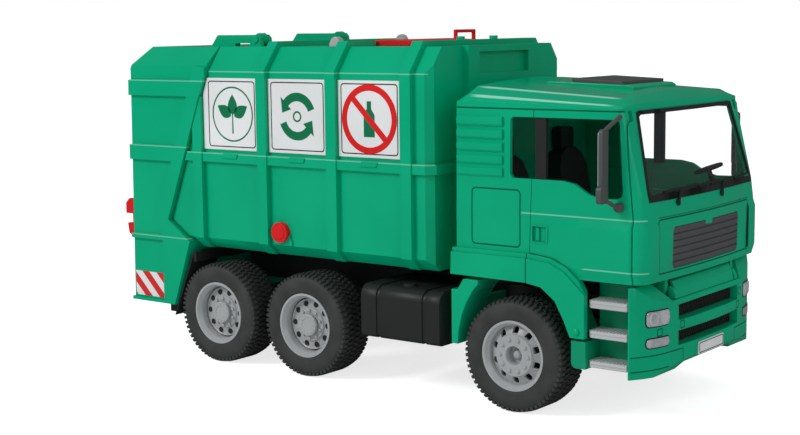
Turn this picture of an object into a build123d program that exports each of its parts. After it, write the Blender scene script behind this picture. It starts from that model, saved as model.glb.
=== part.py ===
"""Toy refuse collection truck with three axles, a tilting cab and a rear loading tailgate.

Units are millimetres. X points forward, Y to the truck's left and Z up, with the ground at Z = 0.
The pieces are drawn with the front axle at X = 0, and placed() moves them so that the middle of the
whole length stands at the origin. Tables of outline points give (x, z) seen from the side, (x, y)
seen from above or (y, z) seen from the front.
"""

from build123d import *
from math import cos, radians, sin
import os

os.makedirs("parts", exist_ok=True)

# Overall sizes
FRONT_OVERHANG = 105.0
WHEELBASE = 188.0
BOGIE_SPACING = 91.0
REAR_OVERHANG = 122.0
HALF_WIDTH = 92.0
AXLE_2_X = -WHEELBASE
AXLE_3_X = AXLE_2_X - BOGIE_SPACING
OVERALL_LENGTH = FRONT_OVERHANG - AXLE_3_X + REAR_OVERHANG
FRONT_AXLE_PLACE = OVERALL_LENGTH / 2 - FRONT_OVERHANG

# Clearances
TURN_GAP = 0.05
SEAT_GAP = 0.02
DOOR_GAP = 0.5

# Wheels
TYRE_RADIUS = 40.0
TYRE_WIDTH = 32.0
TYRE_BEAD_RADIUS = 22.5
TYRE_BEAD_INSET = 3.5
TYRE_LIP_INSET = 1.2
TYRE_SHOULDER_INSET = 3.0
TYRE_SHOULDER_DROP = 2.2
RIM_LIP_RADIUS = 24.7
RIM_LIP_WIDTH = 1.6
RIM_WALL = 1.6
RIM_HOLE_COUNT = 10
RIM_HOLE_PLACE = 17.7
RIM_HOLE_RADIUS = 2.3
HUB_RADIUS = 8.0
DISC_WALL = 2.5
AXLE_RADIUS = 3.0
AXLE_END_ROOM = 4.0
WHEEL_Y = HALF_WIDTH - TYRE_WIDTH / 2
AXLE_Z = TYRE_RADIUS

# Ladder frame
RAIL_Y = 26.0
RAIL_THICKNESS = 6.0
RAIL_TOP = 91.0
RAIL_BOTTOM = 60.0
RAIL_CAB_TOP = 76.0
RAIL_REAR_X = -303.0
RAIL_STEP_X = -58.0
CROSS_MEMBER_SIZE = 12.0
CROSS_MEMBER_PLACES = (-296.0, -233.5, -150.0, -64.0, 60.0)
SPRING_LENGTH = 66.0
SPRING_LEAF = 3.0
SPRING_WIDTH = 10.0
SPRING_Y = 34.0

# Engine under the cab
ENGINE_FRONT_X = 46.0
ENGINE_REAR_X = -34.0
ENGINE_TOP = 94.0

# Container
RIB_HEIGHT = 4.0
PANEL_Y = HALF_WIDTH - RIB_HEIGHT
RIB_WIDTH = 9.5
RIB_FRONT_X = -89.5
RIB_PITCH = 69.0
RIB_COUNT = 4
ROOF_Z = 251.0
ROOF_EDGE_Y = PANEL_Y - 14.5
SHOULDER_Z = ROOF_Z - 19.0
SKIRT_Z = 99.7
FLOOR_EDGE_Y = PANEL_Y - 10.0
FLOOR_Z = RAIL_TOP
CONTAINER_FRONT_X = -70.0
CONTAINER_WALL = 2.5
CORNER_CUT = 5.0
BELT_LOW = 161.0
BELT_HIGH = 168.3
BELT_DEPTH = 3.0
FRONT_BOX_Y = 47.0
FRONT_BOX_DEPTH = 5.0
GRIP_Y = 33.0
GRIP_LOW = ROOF_Z - 20.0
GRIP_HIGH = ROOF_Z - 4.5
SIGN_LOW = BELT_HIGH + 2.7
SIGN_HIGH = SHOULDER_Z - 5.0
SIGN_MARGIN = 0.8
SIGN_THICKNESS = 0.8
KNOB_X = -211.0
KNOB_Z = 110.0
KNOB_RADIUS = 7.8
KNOB_THICKNESS = 4.5

# Sliding lid on the container's roof
LID_HALF_WIDTH = 40.0
LID_REAR_X = -188.0
LID_FRONT_X = -97.0
LID_THICKNESS = 2.8
LID_CROWN = 1.6
LID_LIFT = 0.1
LID_TRAVEL = 30.0
HATCH_HALF_WIDTH = 30.0
HATCH_REAR_X = -150.0
HANDLE_X = -101.0
HANDLE_HALF_WIDTH = 13.0
HANDLE_ROD = 2.4
HANDLE_TOP = ROOF_Z + 11.5
ROOF_CHANNEL_Y = LID_HALF_WIDTH + 2.0

# Tailgate
TAIL_FRONT_X = -286.5
TAIL_ROOF_REAR_X = -362.0
TAIL_SHOULDER_X = -373.0
TAIL_REAR_X = -376.5
TAIL_LOW_FRONT_X = -327.0
TAIL_BUMP_X = -308.0
TAIL_WAIST_X = -331.8
TAIL_BOTTOM_Z = 41.8
TAIL_BUMP_Z = 95.3
TAIL_WAIST_Z = 111.8
TAIL_BREAK_Z = ROOF_Z - 21.6
TAIL_GAP = 1.2
TAIL_WALL = 3.0
TAIL_PANEL_Y = HALF_WIDTH - 3.0
HOPPER_LOW = 128.0
HOPPER_HIGH = ROOF_Z - 55.0
HOPPER_HALF_WIDTH = TAIL_PANEL_Y - 13.0
TAIL_PIVOT_X = -263.5
TAIL_PIVOT_Z = ROOF_Z + 5.5
TAIL_KNUCKLE_RADIUS = 4.8
TAIL_ARM_Y = 49.0
TAIL_ARM_WIDTH = 6.0
TAIL_ARM_REAR_X = -317.0
TAIL_LUG_WIDTH = 3.5
PIN_RADIUS = 1.8
UNDERRUN_X = -343.0
UNDERRUN_Y = HALF_WIDTH - 17.0
UNDERRUN_BOTTOM = 31.5

# Bin lift on the tailgate
LIFT_PIVOT_X = -382.5
LIFT_PIVOT_Z = 119.0
LIFT_ARM_Y = HALF_WIDTH - 20.0
LIFT_ARM_WIDTH = 4.0
LIFT_TIP_X = AXLE_3_X - REAR_OVERHANG
LIFT_TOP = 123.5
LIFT_BOTTOM = 91.5
LIFT_NOTCH_LOW = 102.5
LIFT_NOTCH_HIGH = 110.5

# Cab
CAB_REAR_X = -48.0
CAB_BOTTOM = 97.5
CAB_SPLIT_Z = 209.5
CAB_WALL = 3.0
CAB_HALF_WIDTH = HALF_WIDTH - 4.0
CAB_PIVOT_X = 91.0
CAB_PIVOT_Z = 90.0
CAB_LUG_Y = 50.5
CAB_LUG_WIDTH = 4.0
CAB_LUG_RADIUS = 4.5
WINDSCREEN_LOW = 153.5
WINDSCREEN_HIGH = 208.0
WINDSCREEN_LOW_Y = CAB_HALF_WIDTH - 11.5
WINDSCREEN_HIGH_Y = CAB_HALF_WIDTH - 19.0
GLASS_THICKNESS = 1.6
GRILLE_Y = 50.0
GRILLE_LOW = 104.0
GRILLE_HIGH = 132.0
GRILLE_DEPTH = 2.0
GRILLE_RIBS = 6
VANE_Y = CAB_HALF_WIDTH - 19.5
HATCH_SEAM_Z = 139.5
BAND_REAR_X = 30.7
BAND_FULL_X = 52.0
BAND_SIDE_DEPTH = 1.3
BAND_FRONT_DEPTH = 2.0
HATCH_PLATE_REAR_X = -10.0
HATCH_PLATE_FRONT_X = 66.0
HATCH_PLATE_Y = 30.0
HATCH_PLATE_TOP = 229.5
ROOF_HOLLOW_Y = CAB_HALF_WIDTH - 28.0
DASHBOARD_Y = CAB_HALF_WIDTH - 10.0

# Wheel arch and doors
FLARE_FRONT_X = 56.8
FLARE_BOTTOM = 58.5
LINER_WALL = 2.5
LINER_INNER_Y = 58.0
FLARE_STEP = 1.5
DOOR_REAR_LOW_X = 12.4
DOOR_REAR_HIGH_X = 15.3
DOOR_FRONT_LOW_X = 90.2
DOOR_FRONT_HIGH_X = 83.0
DOOR_SILL_Z = 112.5
DOOR_AXIS_X = 87.5
DOOR_AXIS_Y = CAB_HALF_WIDTH - 1.4
DOOR_EDGE_RADIUS = 2.7
BEARING_HEIGHTS = (106.0, 126.0)
BEARING_PIN = 0.8
POST_WIDTH = 8.5
MIRROR_X = 77.0
MIRROR_Y = HALF_WIDTH + 10.0

# Bumper and steps
BUMPER_HALF_WIDTH = HALF_WIDTH - 3.0
BUMPER_BOTTOM = 34.5
BUMPER_TOP = 95.5
BUMPER_REAR_X = 88.0
BUMPER_WALL = 5.0
SLOT_DEPTH = 8.0
SLOT_Y = BUMPER_HALF_WIDTH - 43.0
LAMP_DEPTH = 3.0
PLATE_HALF_WIDTH = 20.0
PLATE_LOW = 40.5
PLATE_HIGH = 50.0
PLATE_RECESS = 0.8
STEP_REAR_X = 57.5
STEP_FRONT_X = BUMPER_REAR_X - 0.5
STEP_BOX_REAR_X = 46.5
STEP_WELL_Y = HALF_WIDTH - 20.0
STEP_WALL = 2.0
TREAD_THICKNESS = 7.2
TREAD_HEIGHTS = (38.0, 57.8, 77.7)

# Mudflaps behind the third axle
FLAP_BOTTOM = 33.0
FLAP_LOW_X = -327.8
FLAP_OUTER_Y = HALF_WIDTH - 2.0
FLAP_INNER_Y = 60.0

# Fuel tank
TANK_REAR_X = -133.0
TANK_FRONT_X = -62.0
TANK_OUTER_Y = HALF_WIDTH - 1.5
TANK_BOTTOM = 38.5
TANK_TOP = 77.5
TANK_EDGE = 9.0
STRAP_PLACES = (-117.6, -76.0)
STRAP_DEPTH = 0.8

# Mudguard behind the front wheel, as (x, z) from its lower rear corner
MUDGUARD_OUTLINE = (
    (-51.0, 43.0),
    (-51.0, 82.0),
    (-46.0, 82.0),
    (-41.0, 90.0),
    (-28.5, 90.0),
    (-28.5, 87.0),
    (-33.0, 82.0),
    (-38.5, 73.0),
    (-42.5, 63.0),
    (-45.0, 53.0),
    (-46.0, 43.0),
)


def side_plate(points, y_low, y_high):
    """Solid of an outline seen from the side, between two places across the truck."""
    plane = Plane(origin=(0, y_low, 0), x_dir=(1, 0, 0), z_dir=(0, -1, 0))
    return extrude(plane * make_face(Polyline(*points, close=True)), amount=y_low - y_high)


def plan_plate(points, z_low, z_high):
    """Solid of an outline seen from above, between two heights."""
    plane = Plane(origin=(0, 0, z_low))
    return extrude(plane * make_face(Polyline(*points, close=True)), amount=z_high - z_low)


def front_plate(points, x_low, x_high):
    """Solid of an outline seen from the front, between two places along the truck."""
    plane = Plane(origin=(x_low, 0, 0), x_dir=(0, 1, 0), z_dir=(1, 0, 0))
    return extrude(plane * make_face(Polyline(*points, close=True)), amount=x_high - x_low)


def block(x_low, x_high, y_low, y_high, z_low, z_high):
    """Rectangular solid between pairs of limits."""
    centre = ((x_low + x_high) / 2, (y_low + y_high) / 2, (z_low + z_high) / 2)
    return Pos(*centre) * Box(x_high - x_low, y_high - y_low, z_high - z_low)


def cross_rod(x, z, radius, y_low, y_high):
    """Round solid whose axis runs across the truck."""
    return Pos(x, (y_low + y_high) / 2, z) * Rot(90, 0, 0) * Cylinder(radius, y_high - y_low)


def mirrored(solid):
    """The same piece on the truck's other side."""
    return mirror(solid, about=Plane.XZ)


def both_sides(solid):
    """A piece and its twin on the other side."""
    return solid + mirrored(solid)


def placed(name, solid):
    """Writes one piece, moved so that the truck's middle stands at the origin."""
    moved = solid.moved(Location((FRONT_AXLE_PLACE, 0, 0)))
    export_step(moved, f"parts/{name}.step")


def octagon(grow):
    """Container section (y, z) with slanted shoulders and skirts, grown outward by one distance."""
    half = [
        (FLOOR_EDGE_Y, FLOOR_Z - min(grow, 0)),
        (PANEL_Y + grow, SKIRT_Z),
        (PANEL_Y + grow, SHOULDER_Z + grow * 0.4),
        (ROOF_EDGE_Y + grow * 0.4, ROOF_Z + grow),
    ]
    if grow > 0:
        half[0] = (FLOOR_EDGE_Y + grow, FLOOR_Z)
    return half + [(-y, z) for y, z in reversed(half)]


def tail_outline():
    """Side outline of the tailgate, from the roof's front corner round the rear to the front."""
    return [
        (TAIL_FRONT_X, ROOF_Z),
        (TAIL_ROOF_REAR_X, ROOF_Z),
        (TAIL_SHOULDER_X, SHOULDER_Z + 2),
        (TAIL_REAR_X, TAIL_BOTTOM_Z),
        (TAIL_LOW_FRONT_X, TAIL_BOTTOM_Z),
        (TAIL_BUMP_X, TAIL_BUMP_Z),
        (TAIL_WAIST_X, TAIL_WAIST_Z),
        (TAIL_FRONT_X, TAIL_BREAK_Z),
    ]


def container_outline():
    """Side outline of the container, whose rear edge follows the tailgate at one gap."""
    return [
        (CONTAINER_FRONT_X + 20, FLOOR_Z - 20),
        (CONTAINER_FRONT_X + 20, ROOF_Z + 20),
        (TAIL_FRONT_X + TAIL_GAP, ROOF_Z + 20),
        (TAIL_FRONT_X + TAIL_GAP, TAIL_BREAK_Z),
        (TAIL_WAIST_X + TAIL_GAP * 1.6, TAIL_WAIST_Z + 0.3),
        (TAIL_BUMP_X + TAIL_GAP, TAIL_BUMP_Z + TAIL_GAP),
        (TAIL_BUMP_X + TAIL_GAP, FLOOR_Z - 20),
    ]


def tyre():
    """Tyre about the origin, with its outer side towards -Y."""
    half = TYRE_WIDTH / 2
    bead_y = half - TYRE_BEAD_INSET
    shoulder_r = TYRE_RADIUS - TYRE_SHOULDER_DROP
    bulge_r = (TYRE_BEAD_RADIUS + shoulder_r) / 2
    side = [
        (TYRE_BEAD_RADIUS, bead_y),
        (RIM_LIP_RADIUS + 1, half - TYRE_LIP_INSET),
        (bulge_r, half),
        (shoulder_r, half - 0.8),
        (TYRE_RADIUS, half - TYRE_SHOULDER_INSET),
    ]
    outline = side + [(r, -y) for r, y in reversed(side)]
    section = make_face(Polyline(*outline, close=True))
    return revolve(section, axis=Axis.Y)


def rim(front):
    """Rim about the origin, with its outer side towards -Y: the front ones bulge, the rear are dished."""
    barrel = TYRE_BEAD_RADIUS - SEAT_GAP
    bead_y = TYRE_WIDTH / 2 - TYRE_BEAD_INSET
    lip_y = TYRE_WIDTH / 2 - 0.5
    lip_share = RIM_LIP_RADIUS - TYRE_BEAD_RADIUS
    seat_y = bead_y + lip_share * (TYRE_BEAD_INSET - TYRE_LIP_INSET) / (lip_share + 1) + SEAT_GAP * 2
    stud_y = lip_y - 2.0 if front else lip_y - 13.0
    web_y = lip_y - 7.0 if front else lip_y - 17.0
    inner_r = barrel - RIM_WALL
    stud_r = 14.4
    # Columns: radius, place outward from the wheel's middle
    if front:
        hub = [(0.0, lip_y - 5.0), (2.4, lip_y - 5.6), (3.3, lip_y - 7.0), (3.3, lip_y - 9.0), (6.7, lip_y - 9.0)]
        hub.append((6.7, stud_y))
    else:
        hub = [(0.0, lip_y - 4.0), (HUB_RADIUS - 1.0, lip_y - 4.0), (HUB_RADIUS, stud_y)]
    face = hub + [
        (stud_r, stud_y),
        (stud_r + 0.8, stud_y - 1.6),
        (inner_r, web_y),
        (inner_r, bead_y - 0.5),
        (RIM_LIP_RADIUS - RIM_LIP_WIDTH, lip_y),
        (RIM_LIP_RADIUS, lip_y),
        (RIM_LIP_RADIUS, seat_y),
        (barrel, bead_y + SEAT_GAP * 2),
        (barrel, -bead_y),
        (inner_r, -bead_y),
        (inner_r, web_y - DISC_WALL),
        (stud_r, stud_y - DISC_WALL - 1.0),
        (HUB_RADIUS + 0.6, stud_y - DISC_WALL - 1.0),
        (HUB_RADIUS - 0.4, -bead_y),
        (0.0, -bead_y),
    ]
    section = make_face(Polyline(*[(r, -y) for r, y in face], close=True))
    body = revolve(section, axis=Axis.Y)
    hole = cross_rod(0, RIM_HOLE_PLACE, RIM_HOLE_RADIUS, -TYRE_WIDTH / 2, 0)
    if front:
        low = RIM_HOLE_PLACE - RIM_HOLE_RADIUS
        hole += block(-RIM_HOLE_RADIUS, RIM_HOLE_RADIUS, -TYRE_WIDTH / 2, 0, low, RIM_HOLE_PLACE)
    for index in range(RIM_HOLE_COUNT):
        body -= Rot(0, 360.0 / RIM_HOLE_COUNT * index, 0) * hole
    return body - cross_rod(0, 0, AXLE_RADIUS + TURN_GAP, -AXLE_END_ROOM, TYRE_WIDTH)


def tank_body(inset):
    """Tank block on the right rail with rounded outer edges, smaller by one inset on its outside."""
    outer = TANK_OUTER_Y - inset
    body = block(TANK_REAR_X, TANK_FRONT_X, -outer, -RAIL_Y, TANK_BOTTOM + inset, TANK_TOP - inset)
    edges = body.edges().filter_by(Axis.X).filter_by(lambda e: e.center().Y < -outer + 1).sort_by(Axis.Z)
    body = fillet(edges[-1:], TANK_EDGE)
    return fillet(body.edges().filter_by(Axis.X).sort_by(Axis.Z)[0:1], 3)


def axle(x):
    """One dead axle with its two turned ends, and the spring packs that carry it."""
    reach = HALF_WIDTH - 1.0 - 13.0
    shaft = cross_rod(x, AXLE_Z, AXLE_RADIUS, -reach, reach)
    beam = cross_rod(x, AXLE_Z, AXLE_RADIUS + 3, -52, 52)
    half = SPRING_LENGTH / 2
    leaf = [
        (x - half, RAIL_BOTTOM),
        (x - half, RAIL_BOTTOM - SPRING_LEAF),
        (x - 10, AXLE_Z + AXLE_RADIUS),
        (x + 10, AXLE_Z + AXLE_RADIUS),
        (x + half, RAIL_BOTTOM - SPRING_LEAF),
        (x + half, RAIL_BOTTOM),
        (x + half - 8, RAIL_BOTTOM),
        (x + 10, AXLE_Z + AXLE_RADIUS + 9),
        (x - 10, AXLE_Z + AXLE_RADIUS + 9),
        (x - half + 8, RAIL_BOTTOM),
    ]
    pack = side_plate(leaf, RAIL_Y - RAIL_THICKNESS, RAIL_Y + SPRING_WIDTH - RAIL_THICKNESS)
    return shaft + beam + both_sides(pack)


def ladder_frame():
    """Two rails that step down under the cab, tied by cross members."""
    rail_front = BUMPER_REAR_X
    outline = [
        (RAIL_REAR_X, RAIL_BOTTOM),
        (RAIL_REAR_X, RAIL_TOP),
        (RAIL_STEP_X, RAIL_TOP),
        (RAIL_STEP_X + 12, RAIL_CAB_TOP),
        (rail_front, RAIL_CAB_TOP),
        (rail_front, RAIL_BOTTOM),
    ]
    rail = side_plate(outline, RAIL_Y - RAIL_THICKNESS, RAIL_Y)
    frame = both_sides(rail)
    inner = RAIL_Y - RAIL_THICKNESS
    for x in CROSS_MEMBER_PLACES:
        half = CROSS_MEMBER_SIZE / 2
        frame += block(x - half, x + half, -inner, inner, RAIL_BOTTOM + 2, RAIL_CAB_TOP)
    return frame


def engine():
    """Engine between the rails, seen when the cab is tilted."""
    half = RAIL_Y - RAIL_THICKNESS
    core = block(ENGINE_REAR_X, ENGINE_FRONT_X, -half, half, RAIL_BOTTOM + 4, ENGINE_TOP - 6)
    cover = block(ENGINE_REAR_X + 6, ENGINE_FRONT_X - 6, -half + 6, half - 6, ENGINE_TOP - 6, ENGINE_TOP)
    return core + cover


def tank(with_cap):
    """Box tank with two strap grooves, hung on the right rail."""
    body = tank_body(0)
    core = tank_body(STRAP_DEPTH)
    for x in STRAP_PLACES:
        body -= (tank_body(0) - core) & block(x - 1.6, x + 1.6, -HALF_WIDTH, -RAIL_Y - 2, 0, RAIL_TOP)
    if with_cap:
        place = ((TANK_REAR_X + TANK_FRONT_X) / 2, -TANK_OUTER_Y + TANK_EDGE + 4, TANK_TOP)
        body += Pos(*place) * Cylinder(5.0, 4.0)
    return body


def mudguard():
    """Bent strip behind the right front wheel, with its bracket to the rail."""
    strip = side_plate(MUDGUARD_OUTLINE, -HALF_WIDTH + 1, -STEP_WELL_Y + 10)
    bracket = block(-50, -47, -STEP_WELL_Y + 9, -RAIL_Y, RAIL_BOTTOM + 4, RAIL_BOTTOM + 12)
    return strip + bracket


def mudflaps():
    """Cross bar at the frame's rear end with a slanted flap behind each wheel."""
    bar = block(RAIL_REAR_X - 3, RAIL_REAR_X, -FLAP_OUTER_Y, FLAP_OUTER_Y, 79, 87)
    front = [(RAIL_REAR_X - 1.8, 87), (FLAP_LOW_X, FLAP_BOTTOM)]
    flap = side_plate(front + [(x - 1.4, z) for x, z in reversed(front)], -FLAP_OUTER_Y, -FLAP_INNER_Y)
    return bar + both_sides(flap)


def bumper_plan(inset):
    """Bumper outline seen from above, a broad front arc with rounded corners."""
    half = BUMPER_HALF_WIDTH - inset
    front = FRONT_OVERHANG - inset
    side_x = BUMPER_REAR_X + 1
    corner = (front - 4.5, -half + 25)
    bend = (front - 8.5, -half + 12.5)
    right = Line((BUMPER_REAR_X, -half), (side_x, -half))
    right_corner = ThreePointArc((side_x, -half), bend, corner)
    nose = ThreePointArc(corner, (front, 0), (corner[0], -corner[1]))
    left_corner = ThreePointArc((side_x, half), (bend[0], -bend[1]), (corner[0], -corner[1]))
    left = Line((side_x, half), (BUMPER_REAR_X, half))
    back = Line((BUMPER_REAR_X, half), (BUMPER_REAR_X, -half))
    pieces = (right, right_corner, nose, left_corner, left, back)
    return make_face(Wire([edge for piece in pieces for edge in piece.edges()]))


def bumper_body(inset):
    """Bumper volume: the plan outline cut by the side profile."""
    prism = extrude(Pos(0, 0, BUMPER_BOTTOM) * bumper_plan(inset), amount=BUMPER_TOP - BUMPER_BOTTOM)
    front = FRONT_OVERHANG - inset
    profile = [
        (BUMPER_REAR_X, BUMPER_BOTTOM),
        (front - 7, BUMPER_BOTTOM),
        (front - 0.8, BUMPER_BOTTOM + 7.5),
        (front, BUMPER_BOTTOM + 30),
        (front - 3.2, BUMPER_TOP - 13 - inset),
        (front - 14 + inset, BUMPER_TOP - inset),
        (BUMPER_REAR_X, BUMPER_TOP - inset),
    ]
    return prism & side_plate(profile, -HALF_WIDTH, HALF_WIDTH)


# Recess between bumper and cab, as (y, z) seen from the front
FLAP_RECESS = ((-66, 97), (-52, 83), (52, 83), (66, 97))
# Notch along the middle of the bumper's lower edge, as (y, z)
CHIN_NOTCH = ((-42, 34), (-36, 39), (36, 39), (42, 34))
# Columns: half width, lower and upper limit of the slots in the bumper
SLOTS = ((SLOT_Y, 52.0, 62.0), (SLOT_Y, 69.0, 79.5))
# Columns: inner and outer place across, lower and upper limit of the lamps
LAMPS = (
    (BUMPER_HALF_WIDTH - 31.0, BUMPER_HALF_WIDTH - 7.0, 50.5, 59.5),
    (BUMPER_HALF_WIDTH - 29.0, BUMPER_HALF_WIDTH - 7.0, 67.0, 80.0),
)


def bumper():
    """Bumper with slots, lamp pockets, the recess for the flap and the cheeks the cab tilts on."""
    front = FRONT_OVERHANG
    hollow = bumper_body(BUMPER_WALL) & block(0, front, -HALF_WIDTH, -SLOT_Y - 8, 42, BUMPER_TOP - 8)
    body = bumper_body(0) - both_sides(hollow)
    for half, low, high in SLOTS:
        body -= block(front - 2 - SLOT_DEPTH, front + 1, -half, half, low, high)
    for inner, outer, low, high in LAMPS:
        body -= both_sides(lamp_zone(inner, outer, low, high) & bumper_body(0) - bumper_body(LAMP_DEPTH))
    body -= front_plate(FLAP_RECESS, BUMPER_REAR_X - 1, front)
    body -= front_plate(CHIN_NOTCH, BUMPER_REAR_X - 1, front + 1)
    body -= block(front - PLATE_RECESS, front + 1, -PLATE_HALF_WIDTH, PLATE_HALF_WIDTH, PLATE_LOW, PLATE_HIGH)
    return body + both_sides(cab_cheek())


def cab_cheek():
    """Right cheek in the recess, with the pin that the cab tilts about."""
    inner = CAB_LUG_Y - CAB_LUG_WIDTH / 2 - 0.4
    low = FLAP_RECESS[1][1]
    cheek = block(CAB_PIVOT_X - 3, CAB_PIVOT_X + 3, -inner, -inner + 3, low - 5, CAB_PIVOT_Z + 3)
    return cheek + cross_rod(CAB_PIVOT_X, CAB_PIVOT_Z, PIN_RADIUS, -CAB_LUG_Y - CAB_LUG_WIDTH / 2, -inner)


def lamp_zone(inner, outer, low, high):
    """Region of one right-hand lamp seen from the front."""
    return block(BUMPER_REAR_X + 1.5, FRONT_OVERHANG + 1, -outer, -inner, low, high)


def headlamps():
    """Four lamp units that fill their pockets."""
    skin = bumper_body(0.3) - bumper_body(LAMP_DEPTH)
    lamps = [skin & lamp_zone(inner, outer, low, high) for inner, outer, low, high in LAMPS]
    return both_sides(lamps[0] + lamps[1])


def bumper_mesh():
    """Dark inserts at the back of the two slots."""
    back = FRONT_OVERHANG - 2 - SLOT_DEPTH
    inserts = [block(back, back + 1.5, -half, half, low, high) for half, low, high in SLOTS]
    return inserts[0] + inserts[1]


def step_flap():
    """Curved flap in the recess between the cab and the bumper."""
    low = FLAP_RECESS[1][1]
    outline = [(97.5, low), (96.5, 89), (94.5, 93.5), (94.5, 95.3), (96.5, 94.8), (99.2, 89.5), (100.6, low)]
    reach = CAB_LUG_Y - CAB_LUG_WIDTH / 2 - 4.5
    return side_plate(outline, -reach, reach)


def step_well():
    """Right-hand step well: the wall behind the treads and the box under the wheel arch."""
    wall = block(STEP_REAR_X, STEP_FRONT_X, -STEP_WELL_Y, -STEP_WELL_Y + STEP_WALL, 38, 94)
    box = block(STEP_BOX_REAR_X, STEP_REAR_X, -HALF_WIDTH + 1, -STEP_WELL_Y + STEP_WALL, 38, 56.5)
    corner = box.edges().filter_by(Axis.Y).sort_by(Axis.Z)[:2].sort_by(Axis.X)[:1]
    arm = block(STEP_REAR_X, STEP_REAR_X + 8, -STEP_WELL_Y + STEP_WALL, -RAIL_Y, 62, 72)
    return wall + fillet(corner, 4.0) + arm


def treads():
    """Three ridged treads on each side, with their rear outer corners cut off."""
    outer = HALF_WIDTH - 2.5
    plan = [
        (STEP_REAR_X, -STEP_WELL_Y),
        (STEP_REAR_X, -outer + 4),
        (STEP_REAR_X + 4, -outer),
        (STEP_FRONT_X, -outer),
        (STEP_FRONT_X, -STEP_WELL_Y),
    ]
    right = None
    for low in TREAD_HEIGHTS:
        tread = plan_plate(plan, low, low + TREAD_THICKNESS)
        right = tread if right is None else right + tread
    return both_sides(right)


def container():
    """Hollow container with ribs, belt, hinge lugs, front box and the hatch in its roof."""
    rear_x = TAIL_WAIST_X
    outer = front_plate(octagon(0), rear_x, CONTAINER_FRONT_X)
    half = PANEL_Y - CORNER_CUT
    corner_plan = [
        (rear_x, -PANEL_Y - 1),
        (CONTAINER_FRONT_X - CORNER_CUT, -PANEL_Y - 1),
        (CONTAINER_FRONT_X - CORNER_CUT, -PANEL_Y),
        (CONTAINER_FRONT_X, -half),
        (CONTAINER_FRONT_X, half),
        (CONTAINER_FRONT_X - CORNER_CUT, PANEL_Y),
        (CONTAINER_FRONT_X - CORNER_CUT, PANEL_Y + 1),
        (rear_x, PANEL_Y + 1),
    ]
    outer = outer & plan_plate(corner_plan, FLOOR_Z - 1, ROOF_Z + 1)
    inner = front_plate(octagon(-CONTAINER_WALL), rear_x - 1, CONTAINER_FRONT_X - CONTAINER_WALL - 3)
    shell = outer
    for index in range(RIB_COUNT):
        shell += rib(RIB_FRONT_X - RIB_PITCH * index)
    shell += belt()
    shell -= inner
    channel_rear = LID_REAR_X - LID_TRAVEL - 2
    roof_gap = block(channel_rear, LID_FRONT_X + 2, -ROOF_CHANNEL_Y, ROOF_CHANNEL_Y, ROOF_Z, ROOF_Z + 20)
    shell -= roof_gap
    shell -= block(HATCH_REAR_X, LID_FRONT_X - 6, -HATCH_HALF_WIDTH, HATCH_HALF_WIDTH, ROOF_Z - 20, ROOF_Z + 9)
    shell += front_box()
    shell = shell & side_plate(container_outline(), -HALF_WIDTH - 1, HALF_WIDTH + 1)
    return shell + both_sides(tail_lugs() + roof_stud())


def roof_stud():
    """Right-hand round stud on the front rib's roof part."""
    return Pos(RIB_FRONT_X, -22, ROOF_Z + 3) * Cylinder(3.2, 7)


def roof_lugs():
    """Two half-round lugs near the roof's edges."""
    lugs = None
    for middle, y_low in ((-168.8, -72.5), (-213.0, 66.5)):
        arc = [(-5.4, 0), (-5.4, 2.5), (-3, 6.2), (0, 7.5), (3, 6.2), (5.4, 2.5), (5.4, 0)]
        lug = side_plate([(middle + x, ROOF_Z + z) for x, z in arc], y_low, y_low + 6)
        lugs = lug if lugs is None else lugs + lug
    return lugs


def rib(x):
    """One rib round the container's section."""
    return front_plate(octagon(RIB_HEIGHT), x - RIB_WIDTH / 2, x + RIB_WIDTH / 2)


def belt():
    """Rail round the sides and the front wall."""
    half = PANEL_Y + BELT_DEPTH
    front = CONTAINER_FRONT_X + BELT_DEPTH
    plan = [
        (TAIL_WAIST_X, -half),
        (front - CORNER_CUT - 1, -half),
        (front, -half + CORNER_CUT + 1),
        (front, half - CORNER_CUT - 1),
        (front - CORNER_CUT - 1, half),
        (TAIL_WAIST_X, half),
    ]
    return plan_plate(plan, BELT_LOW, BELT_HIGH)


def front_box():
    """Raised middle of the front wall with its grip recess."""
    front = CONTAINER_FRONT_X + FRONT_BOX_DEPTH
    low = SKIRT_Z + 8
    box = block(CONTAINER_FRONT_X - 1, front, -FRONT_BOX_Y, FRONT_BOX_Y, low, ROOF_Z)
    grip = block(front - 4, front + 1, -GRIP_Y, GRIP_Y, GRIP_LOW, GRIP_HIGH)
    return box - grip


def tail_lugs():
    """Right-hand lugs and pin on the roof that the tailgate hangs on."""
    top = TAIL_PIVOT_Z + 3.5
    outline = [
        (TAIL_PIVOT_X - 7, ROOF_Z),
        (TAIL_PIVOT_X - 4, top - 1),
        (TAIL_PIVOT_X - 2, top),
        (TAIL_PIVOT_X + 2, top),
        (TAIL_PIVOT_X + 4.5, top - 2.5),
        (TAIL_PIVOT_X + 5.5, ROOF_Z),
    ]
    near = TAIL_ARM_Y + TAIL_ARM_WIDTH / 2 + 0.4
    far = TAIL_ARM_Y - TAIL_ARM_WIDTH / 2 - 0.4
    outer = side_plate(outline, -near - TAIL_LUG_WIDTH, -near)
    inner = side_plate(outline, -far, -far + TAIL_LUG_WIDTH)
    pin = cross_rod(TAIL_PIVOT_X, TAIL_PIVOT_Z, PIN_RADIUS, -near - 1, -far + 1)
    return outer + inner + pin


def signs():
    """Three sign panels between the ribs on each side."""
    right = None
    for index in range(RIB_COUNT - 1):
        front = RIB_FRONT_X - RIB_PITCH * index - RIB_WIDTH / 2 - SIGN_MARGIN
        rear = RIB_FRONT_X - RIB_PITCH * (index + 1) + RIB_WIDTH / 2 + SIGN_MARGIN
        sign = block(rear, front, -PANEL_Y - SIGN_THICKNESS, -PANEL_Y, SIGN_LOW, SIGN_HIGH)
        right = sign if right is None else right + sign
    right = right & side_plate(container_outline(), -HALF_WIDTH, 0)
    return both_sides(right)


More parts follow.
